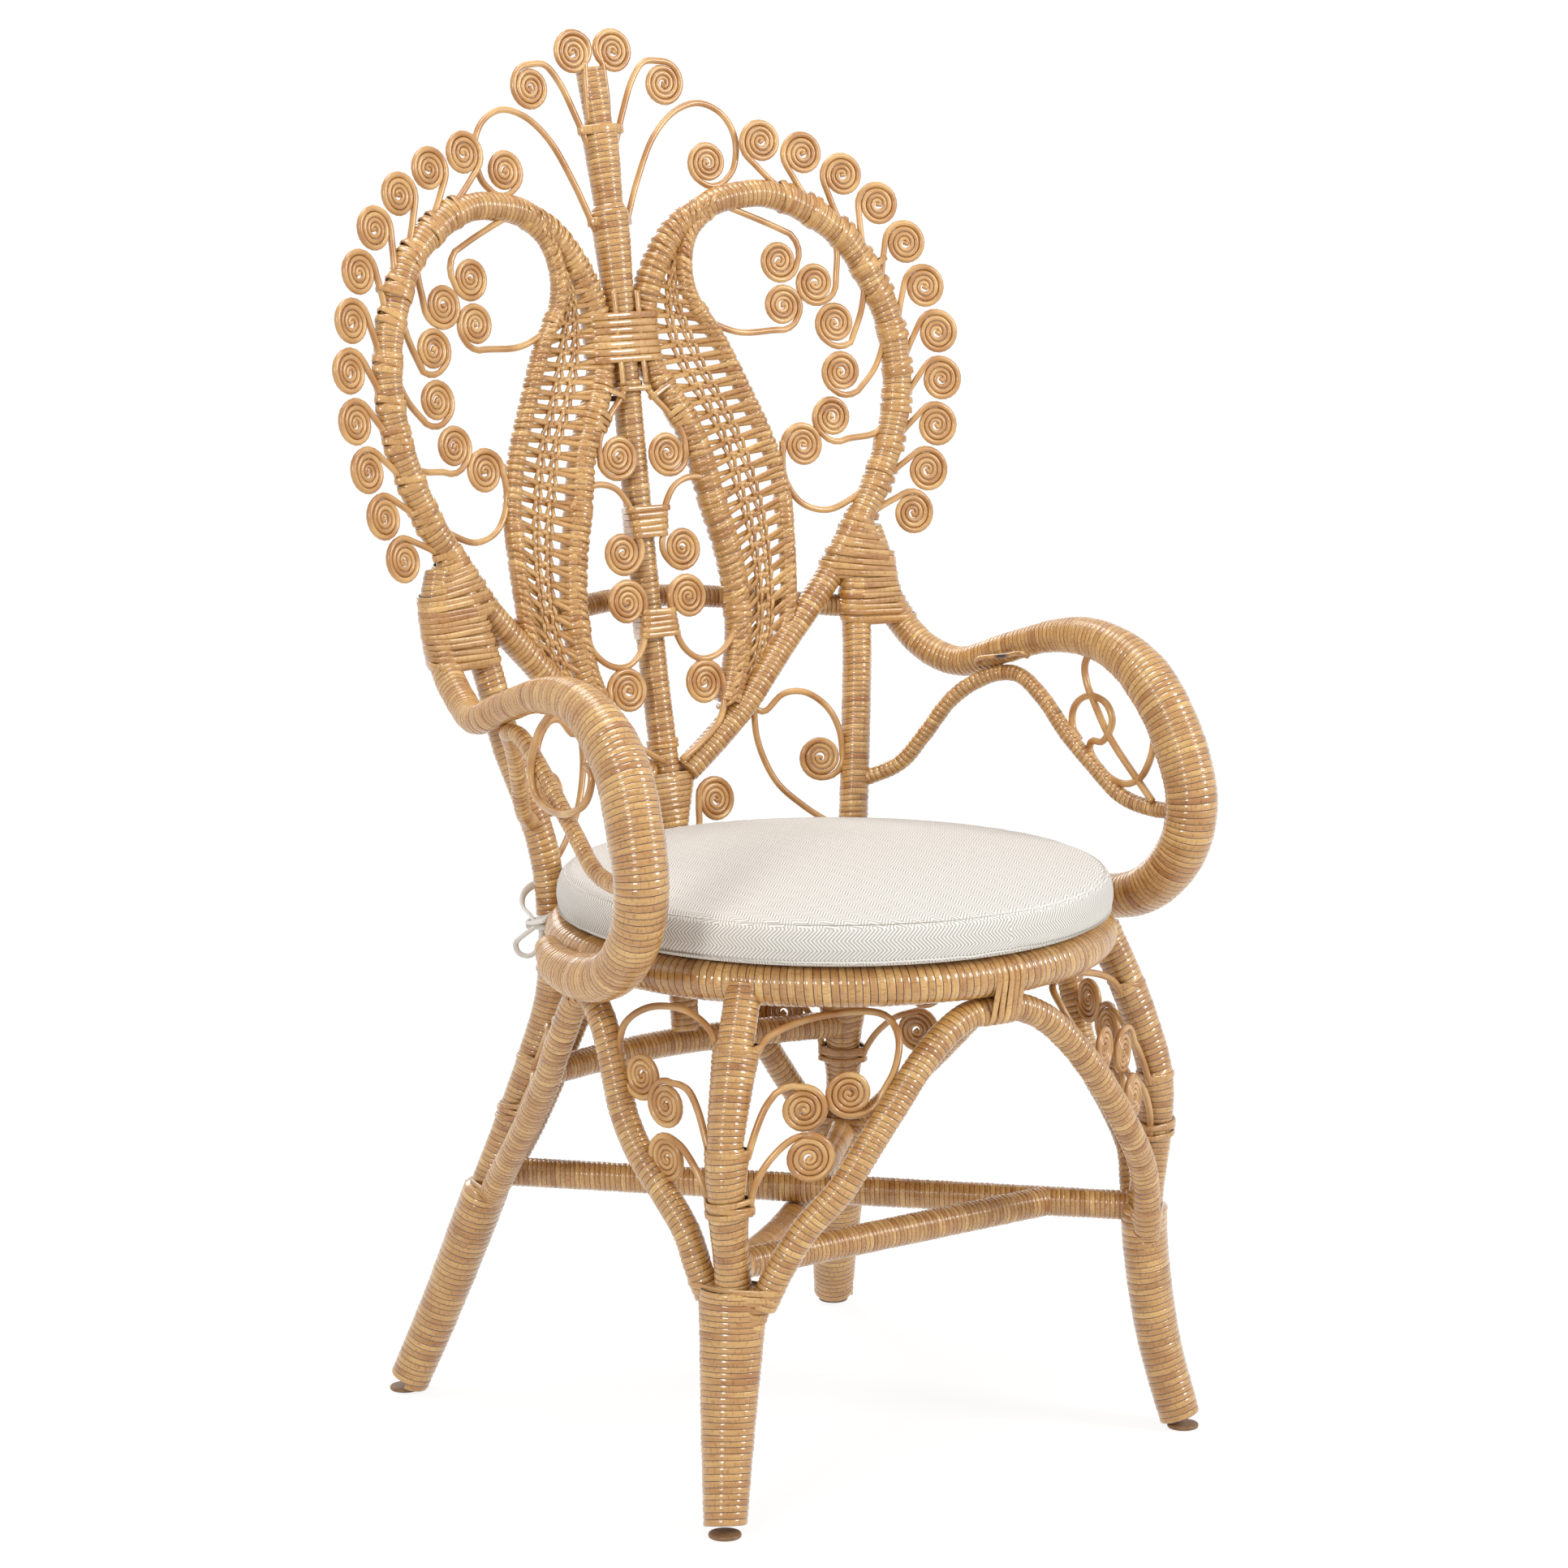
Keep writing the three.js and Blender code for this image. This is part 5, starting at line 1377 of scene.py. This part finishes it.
panelWeave = {
    "pairs": 33,
    "halfWide": 0.0026,
    "halfThick": 0.0009,
    "wave": 0.0017,
    "uprights": (0.29, 0.4, 0.58, 0.69),
    "pinch": 0.3,  # how far two neighbours close up where the uprights pass
    "uprightRadius": 0.0019,
}


def spaced(line, count):
    return placeAt(line, (np.arange(count) + 0.5) / count * runOf(line)[-1])


for word, side in bothSides:
    count = panelWeave["pairs"] * 2
    innerLine = fanPath(loops["inner"][1:], side)
    inner, outer = spaced(innerLine, count), spaced(lines["edge", side], count)
    middle = (inner + outer) / 2
    along = unit(np.gradient(middle, axis=0))
    parts, uprights = [], [[] for _ in panelWeave["uprights"]]
    for k in range(count):
        pairMiddle = (k // 2) * 2 + 0.5
        pull = (pairMiddle - k) * 0.18
        a = inner[k] + (inner[min(k + 1, count - 1)] - inner[max(k - 1, 0)]) / 2 * pull
        b = outer[k] + (outer[min(k + 1, count - 1)] - outer[max(k - 1, 0)]) / 2 * pull
        across = unit(b - a)
        normal = np.cross(along[k], across)
        normal = unit(normal * -np.sign(normal[1]))
        ra, rb = loopR + 0.0009, edgeR + 0.0009
        line = [a - normal * ra * 0.6 - across * ra * 0.8, a - across * ra,
                a - across * ra * 0.7 + normal * ra * 0.7, a + normal * ra,
                a + across * ra * 0.75 + normal * ra * 0.55]
        for i, share in enumerate(panelWeave["uprights"]):
            gapA, gapB = a + across * loopR, b - across * edgeR
            sway = panelWeave["wave"] * (1 if (i + k) % 2 else -1)
            spot = gapA + (gapB - gapA) * share
            spot = spot + (middle[k] - (a + b) / 2) + normal * sway
            spot = spot + (middle[min(k + 1, count - 1)] - middle[max(k - 1, 0)]) / 2 * (
                (pairMiddle - k) * panelWeave["pinch"] * 2)
            line.append(spot)
            uprights[i].append(spot - normal * 2 * sway)
        line += [b - across * rb * 0.75 + normal * rb * 0.55, b + normal * rb,
                 b + across * rb * 0.7 + normal * rb * 0.7, b + across * rb,
                 b + across * rb * 0.8 - normal * rb * 0.6]
        parts.append(ribbonPart(smoothPath(line, 0.0036), along[k], panelWeave["halfWide"],
                                panelWeave["halfThick"]))
    for spots in uprights:
        parts.append(ribbonPart(smoothPath(spots, 0.0034), (1, 0, 0), panelWeave["uprightRadius"],
                                panelWeave["uprightRadius"]))
    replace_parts(meshPiece("woven_panel_" + word + "_peel", parts, peel), "woven_panel_" + word)
print("tie and woven panels made")


# bindings under the seat

hoopR, legR, archR = hoop["pole"], legs["radius"], arches["radius"]
parts = []
for key in ("archFront", "archRear", ("sideArch", 1), ("sideArch", -1)):
    line = lines[key]
    spot = line[len(line) // 2] if key in ("archFront", "archRear") else nearHeight(line, 1)
    parts += bind(hoopLine, hoopR, spot, 0.03, poles=[(line, archR)], pitch=0.006, width=0.0058, canes=False)
bindingPiece("hoop_bindings", parts)
legTop = {"height": 0.212, "strips": 9, "pitch": 0.0052}  # where the arches' ends are bound to the leg
for front, side, name in fourLegs:
    leg = legPath(front, side)
    parts = []
    for k in range(legTop["strips"]):
        z = legTop["height"] - legTop["pitch"] * k
        centre = nearHeight(leg, z)
        circles = [(centre, legR)]
        for arch in legFaces(front, side):
            end = nearHeight(arch, z)
            reach = end + (centre - end) * k / (legTop["strips"] + 2) * 0.5
            circles.append((np.array([reach[0], reach[1], z]), archR * (1 - 0.3 * k / legTop["strips"])))
        parts.append(stripPart(centre, (0, 0, 1), circles, width=0.0054, lift=0.0004 * (k % 2)))
    for share, count, slant in legCurls["collars"]:
        for k in range(count):
            height = share * legs["height"] - 0.0056 * k
            circles = []
            for arch in legFaces(front, side):
                onLeg, way = towardArch(leg, arch, height)
                circles += [(onLeg, legR), (onLeg + way * (legR + cane["thick"] * 0.9), cane["thick"])]
            parts.append(stripPart(onLeg, (0, 0, 1), circles, width=0.005, thick=0.0016,
                                   lift=0.0004 if count == 1 else 0.0016,
                                   tilt=slant * (1, -0.6, 0.8)[k % 3], lean=0.8 * side))
    bindingPiece("leg_bindings_" + name, parts)
print("seat bindings made")


# the round cushion, its seams and its tie cords

cushion = {
    "radius": 0.2552,
    "across": -0.007,
    "middle": -0.0825,
    "thickness": 0.045,
    "crown": 0.009,
    "corner": 0.012,
    "seam": 0.0405,  # the top seam's height over the foot
    "seamIn": 0.008,  # how far the seam lies inside the widest place
    "foot": hoop["height"] + hoop["pole"] + 0.0003,
    "tuck": 0.0035,  # the pad starts this much smaller, and swells
    "sides": 96,
    "voxel": 0.0058,
    "cap": 0.009,  # the filling moves the cover no farther than this
    "pressure": 4,
    "crease": 0.0016,  # how far the top seam draws the cover in, over the half width that follows
    "creaseWide": 0.0032,
    "flat": 0.62,  # faces turned up or down by more than this take the flat map
    "row": 8.6,  # mm, a row of the herringbone
    "yarn": 3.6,  # mm, one rib of it
}


def herringbone(name, light, deep):
    # undyed cotton twill woven in herringbone rows, matt, with a few darker slubs; the rib valleys carry
    # painted shade
    made, tree = newMaterial(name)
    spot, x, y = mapAxes(tree, "cloth")
    slanted = mathOf(tree, "ADD", x, mathOf(tree, "PINGPONG", y, cushion["row"]))
    rib = mathOf(tree, "SINE", mathOf(tree, "MULTIPLY", slanted, 2 * math.pi / cushion["yarn"]))
    ribs = rangeOf(tree, rib, -1.0, 0.5)
    fine = noiseAt(tree, spot, 2.0, scale=1.6)
    slubAt = addNode(tree, "ShaderNodeMapping", None, {"Vector": spot, "Scale": (0.05, 0.5, 1.0)}).outputs[0]
    slubs = rangeOf(tree, noiseAt(tree, slubAt, 1.0), 0.6, 0.8, toHigh=0.35)
    height = mathOf(tree, "MULTIPLY_ADD", fine, 0.5, ribs)
    # painted shade: the deep colour falls in the rib valleys, where the bump is lowest
    woven = mixed(tree, ribs, linear(deep), linear(light))
    return skinned(made, color=mixed(tree, slubs, woven, linear("#D5CCBF")), rough=0.92, specular=0.2,
                   normal=bumped(tree, height, 0.7, 0.0006), sheen=0.15, sheenRough=0.5)


twill = herringbone("undyed herringbone cotton", "#F0EDE8", "#B3ACA1")


def readAll(rows, key, kind=float, width=1):
    found = np.zeros(len(rows) * width, dtype=kind)
    rows.foreach_get(key, found)
    return found.reshape(-1, width) if width > 1 else found


def clothMap(mesh):
    # lays the weave flat on the top and foot and round the band, in millimetres
    corner = readAll(mesh.loops, "vertex_index", np.int32)
    starts = readAll(mesh.polygons, "loop_start", np.int32)
    totals = readAll(mesh.polygons, "loop_total", np.int32)
    faceOf = np.repeat(np.arange(len(totals)), totals)
    flat = np.abs(readAll(mesh.polygons, "normal", width=3)[:, 2])[faceOf] > cushion["flat"]
    spot = readAll(mesh.vertices, "co", width=3)[corner] - point(cushion["across"], cushion["middle"], 0)
    centres = np.add.reduceat(spot, starts, axis=0) / totals[:, None]
    middle = np.arctan2(centres[:, 0], centres[:, 1])[faceOf]
    turn = np.arctan2(spot[:, 0], spot[:, 1])
    turn = middle + (turn - middle + math.pi) % (2 * math.pi) - math.pi
    mapped = np.where(flat[:, None], spot[:, [1, 0]] * 1000,
                      np.stack([turn * cushion["radius"], spot[:, 2]], 1) * 1000)
    layer = mesh.uv_layers.new(name="cloth")
    layer.data.foreach_set("uv", mapped.reshape(-1))


def makeCushion():
    c, tuck = cushion, cushion["tuck"]
    foot, top = c["foot"] + tuck * 0.3, c["foot"] + c["thickness"] - tuck * 0.4
    wide, seam, corner = c["radius"] - tuck, foot + c["seam"], c["corner"]
    edge = wide - c["seamIn"]
    profile = [(0, foot), (wide * 0.5, foot), (wide - corner * 1.3, foot),
               (wide - corner * 0.55, foot + 0.0024), (wide - corner * 0.15, foot + corner * 0.65), (wide, foot + corner * 1.5),
               (wide - 0.0008, foot + corner * 2.2), (wide - 0.0034, seam - 0.006), (edge, seam),
               (edge - 0.013, seam + (top - seam) * 0.6), (edge - 0.035, top),
               (wide * 0.7, top + c["crown"] * 0.55), (wide * 0.4, top + c["crown"] * 0.9),
               (0, top + c["crown"])]
    mesh = bpy.data.meshes.new("cushionCover")
    sides = c["sides"]
    middleX, middleY = c["across"], c["middle"] + depthShift
    turns = [2 * math.pi * k / sides for k in range(sides)]
    verts = [(middleX, middleY, foot)]
    verts += [(middleX + r * math.cos(a), middleY + r * math.sin(a), z)
              for r, z in profile[1:-1] for a in turns]
    verts.append((middleX, middleY, profile[-1][1]))
    rings = len(profile) - 2
    faces = []
    for k in range(sides):
        after = (k + 1) % sides
        faces.append((0, 1 + after, 1 + k))
        for ring in range(rings - 1):
            a, b = 1 + ring * sides, 1 + (ring + 1) * sides
            faces.append((a + k, a + after, b + after, b + k))
        last = 1 + (rings - 1) * sides
        faces.append((last + k, last + after, len(verts) - 1))
    mesh.from_pydata(verts, [], faces)
    cover = addObject("cushion_cover", mesh)
    bpy.ops.object.select_all(action="DESELECT")
    cover.select_set(True)
    bpy.context.view_layer.objects.active = cover
    cover.data.remesh_voxel_size = c["voxel"]
    bpy.ops.object.voxel_remesh()
    before = readAll(cover.data.vertices, "co", width=3)
    # the filling presses the cover out, while the seams and the foot hold it
    held = cover.vertex_groups.new(name="held")
    radial = np.hypot(before[:, 0] - middleX, before[:, 1] - middleY)
    seams = (np.abs(radial - edge) < 0.005) & (np.abs(before[:, 2] - seam) < 0.0035)
    under = before[:, 2] < foot + 0.003
    held.add([int(i) for i in np.nonzero(seams | under)[0]], 1.0, "REPLACE")
    bpy.ops.object.modifier_add(type="CLOTH")
    cloth = cover.modifiers[-1]
    cloth.settings.use_pressure = True
    cloth.settings.uniform_pressure_force = c["pressure"]
    cloth.settings.effector_weights.gravity = 0
    cloth.settings.vertex_group_mass = "held"
    cloth.settings.pin_stiffness = 1.0
    cloth.settings.quality = 5
    scene = bpy.context.scene
    for number in range(1, 21):
        scene.frame_set(number)
    bpy.ops.object.modifier_apply(modifier=cloth.name)
    scene.frame_set(1)
    moved = readAll(cover.data.vertices, "co", width=3) - before
    size = np.linalg.norm(moved, axis=1, keepdims=True)
    spots = before + moved * np.minimum(1, c["cap"] / np.maximum(size, 1e-9))
    spots[:, 2] = np.clip(spots[:, 2], c["foot"], None)
    cover.data.vertices.foreach_set("co", spots.reshape(-1))
    cover.modifiers.new("soften", "SUBSURF").levels = 1
    cover.modifiers[-1].render_levels = 1
    bpy.ops.object.modifier_apply(modifier="soften")
    # the top seam draws the cover in along a narrow crease
    fine = readAll(cover.data.vertices, "co", width=3)
    outward = fine[:, :2] - np.array([middleX, middleY])
    radial = np.linalg.norm(outward, axis=1)
    off = np.hypot(radial - edge - 0.0005, fine[:, 2] - seam)
    draw = c["crease"] * np.exp(-(off / c["creaseWide"]) ** 2)
    fine[:, :2] -= outward / np.maximum(radial, 1e-6)[:, None] * draw[:, None] * 0.7
    fine[:, 2] -= draw * 0.7
    cover.data.vertices.foreach_set("co", fine.reshape(-1))
    clothMap(cover.data)
    cover.data.materials.append(twill)
    cover.data.shade_smooth()
    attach(cover, "root")
    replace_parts(cover, "seat_cushion")
    return cover, fine, outward, radial


def seamRing(spots, outward, radial, ring, height, out, halfWide, halfThick):
    # a ring that follows the cover's surface near one radius and height
    turn = np.arctan2(outward[:, 1], outward[:, 0])
    near = np.hypot(radial - ring, spots[:, 2] - height) < 0.006
    middle = point(cushion["across"], cushion["middle"], height)
    places = []
    for k in range(180):
        a = -math.pi + 2 * math.pi * k / 180
        close = near & (np.abs((turn - a + math.pi) % (2 * math.pi) - math.pi) < 0.04)
        r, lift = radial[close].mean() + out, spots[close, 2].mean() - height
        places.append(middle + np.array([r * math.cos(a), r * math.sin(a), lift]))
    line = smoothPath(places, 0.004, closed=True)
    return ribbonPart(line, unit(line - middle), halfWide, halfThick)


cover, spots, outward, radial = makeCushion()
print("cushion made:", len(cover.data.polygons), "faces")

seamParts = [
    seamRing(spots, outward, radial, cushion["radius"] - cushion["tuck"] - cushion["seamIn"],
             cushion["foot"] + cushion["seam"] + 0.001, 0, 0.0006, 0.0006),
    seamRing(spots, outward, radial, cushion["radius"] - 0.004, cushion["foot"] + 0.0055,
             0.001, 0.0015, 0.0007),
]
seams = meshPiece("cushion_seams", seamParts, twill)
seams.data.uv_layers["windings"].name = "cloth"

tie = {
    "halfWide": 0.0036,
    "halfThick": 0.0018,
    "height": 0.511,
    # rows of [turns round the rear post, distance in post radii, height in cushion thicknesses]
    "shares": [(0.64, 2.3, 0.24), (0.6, 1.75, 0.24), (0.53, 1.42, 0.24), (0.42, 1.32, 0.23),
               (0.3, 1.32, 0.21),
               (0.2, 1.38, 0.16), (0.1, 1.6, 0.04), (0.02, 1.85, -0.14), (-0.06, 1.9, -0.33),
               (-0.085, 2.05, -0.5), (-0.05, 2.45, -0.66), (-0.015, 2.75, -0.86), (-0.03, 2.7, -1.05),
               (-0.07, 2.35, -1.1), (-0.1, 2.05, -0.96), (-0.115, 1.9, -0.76), (-0.12, 1.85, -0.56)],
    "front": [(-0.08, 2, -0.44), (-0.17, 1.7, -0.32), (-0.26, 1.6, -0.16), (-0.34, 1.9, 0),
              (-0.39, 2.6, 0.1)],
    "knotRadius": 0.0042,
    "end": [(-0.1, 2, -0.46), (-0.16, 1.85, -0.6), (-0.21, 1.7, -0.78), (-0.25, 1.65, -0.98)],
}


def tiePath(side, shares):
    middle = nearHeight(rearPostPath(1), tie["height"])
    points = []
    for turns, reach, rise in shares:
        a = turns * 2 * math.pi
        x = middle[0] + math.cos(a) * reach * rearPost["radius"]
        y = middle[1] + math.sin(a) * reach * rearPost["radius"]
        points.append((side * x, y, hoop["height"] + hoop["pole"] + rise * cushion["thickness"]))
    return smoothPath(points, 0.002)


for word, side in bothSides:
    line = tiePath(side, tie["shares"])
    cord = meshPiece("tie_" + word, [ribbonPart(line, None, tie["halfWide"], tie["halfThick"], sides=10)],
                     twill)
    cord.data.uv_layers["windings"].name = "cloth"
    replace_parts(cord, "cushion_tie_" + word)
    knotted = tiePath(side, [tie["shares"][8], tie["shares"][-1]])
    spot = (knotted[0] + knotted[-1]) / 2
    circles = [(knotted[end], tie["knotRadius"]) for end in (0, -1)]
    knotParts = [stripPart(spot + np.array([0, 0, shift]), (0, 0.1, 1), circles, width=0.005, thick=0.002,
                           tilt=slant) for shift, slant in ((0.002, 0.25), (-0.0035, -0.2))]
    for key in ("front", "end"):
        knotParts.append(ribbonPart(tiePath(side, tie[key]), (0, 0, 1), tie["halfWide"],
                                    tie["halfThick"] * 0.8, sides=10))
    knot = meshPiece("tie_knot_" + word, knotParts, twill)
    knot.data.uv_layers["windings"].name = "cloth"
    tuple(line[0])
    round(float(runOf(line)[-1]), 3)
    [tuple(p) for p in line]
print("ties made")


# the woven seat under the cushion, and the glides

def seatWeaveMaterial(name, light, deep):
    # flat peel woven one over one, seen only from below and at the rim, with painted shade between the strips
    made, tree = newMaterial(name)
    _, x, y = mapAxes(tree)
    waves = [mathOf(tree, "SINE", mathOf(tree, "MULTIPLY", axis, math.pi / 0.006)) for axis in (x, y)]
    over = mathOf(tree, "MULTIPLY", *waves)
    # painted shade: dark brown where the over and under cells meet
    paintedGapShade = rangeOf(tree, mathOf(tree, "ABSOLUTE", over), 0.0, 0.3)
    tone = mixed(tree, mathOf(tree, "GREATER_THAN", over, 0.0), linear(light), linear(deep))
    return skinned(made, color=mixed(tree, paintedGapShade, linear("#5A3413"), tone), rough=0.45,
                   normal=bumped(tree, paintedGapShade, 0.8, 0.001))


def glideMaterial(name, colour):
    # brown moulded glide with a worn, dusty foot
    made, tree = newMaterial(name)
    wear = noiseAt(tree, mapAxes(tree)[0], 3.0, scale=260.0)
    return skinned(made, color=mixed(tree, wear, linear(colour), linear("#9C7A55")), rough=0.5)


seatWeave = seatWeaveMaterial("woven rattan seat", "#DDB680", "#C99D66")
glideFinish = glideMaterial("brown moulded glide", "#6B4A2C")
seat = bpy.data.objects["seat_panel"]
seat.data.materials.clear()
seat.data.materials.append(seatWeave)
glide = {"radius": 0.0145, "bevel": 0.0016}
for end in ("front", "rear"):
    for word, side in bothSides:
        node = "foot_pad_" + end + "_" + word
        low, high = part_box(node)
        middle = [(a + b) / 2 for a, b in zip(low, high)]
        bpy.ops.mesh.primitive_cylinder_add(vertices=48, radius=glide["radius"],
                                            depth=high[2] - low[2], location=middle)
        made = bpy.context.object
        made.name = "glide_" + end + "_" + word
        bpy.ops.object.transform_apply(location=True, rotation=True, scale=True)
        bevel = made.modifiers.new("rounded", "BEVEL")
        bevel.width = glide["bevel"]
        bevel.segments = 3
        bevel.limit_method = "ANGLE"
        bpy.ops.object.shade_smooth_by_angle()
        made.data.materials.append(glideFinish)
        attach(made, "root")
        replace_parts(made, node)
print("seat and glides made")


print("chair finished")
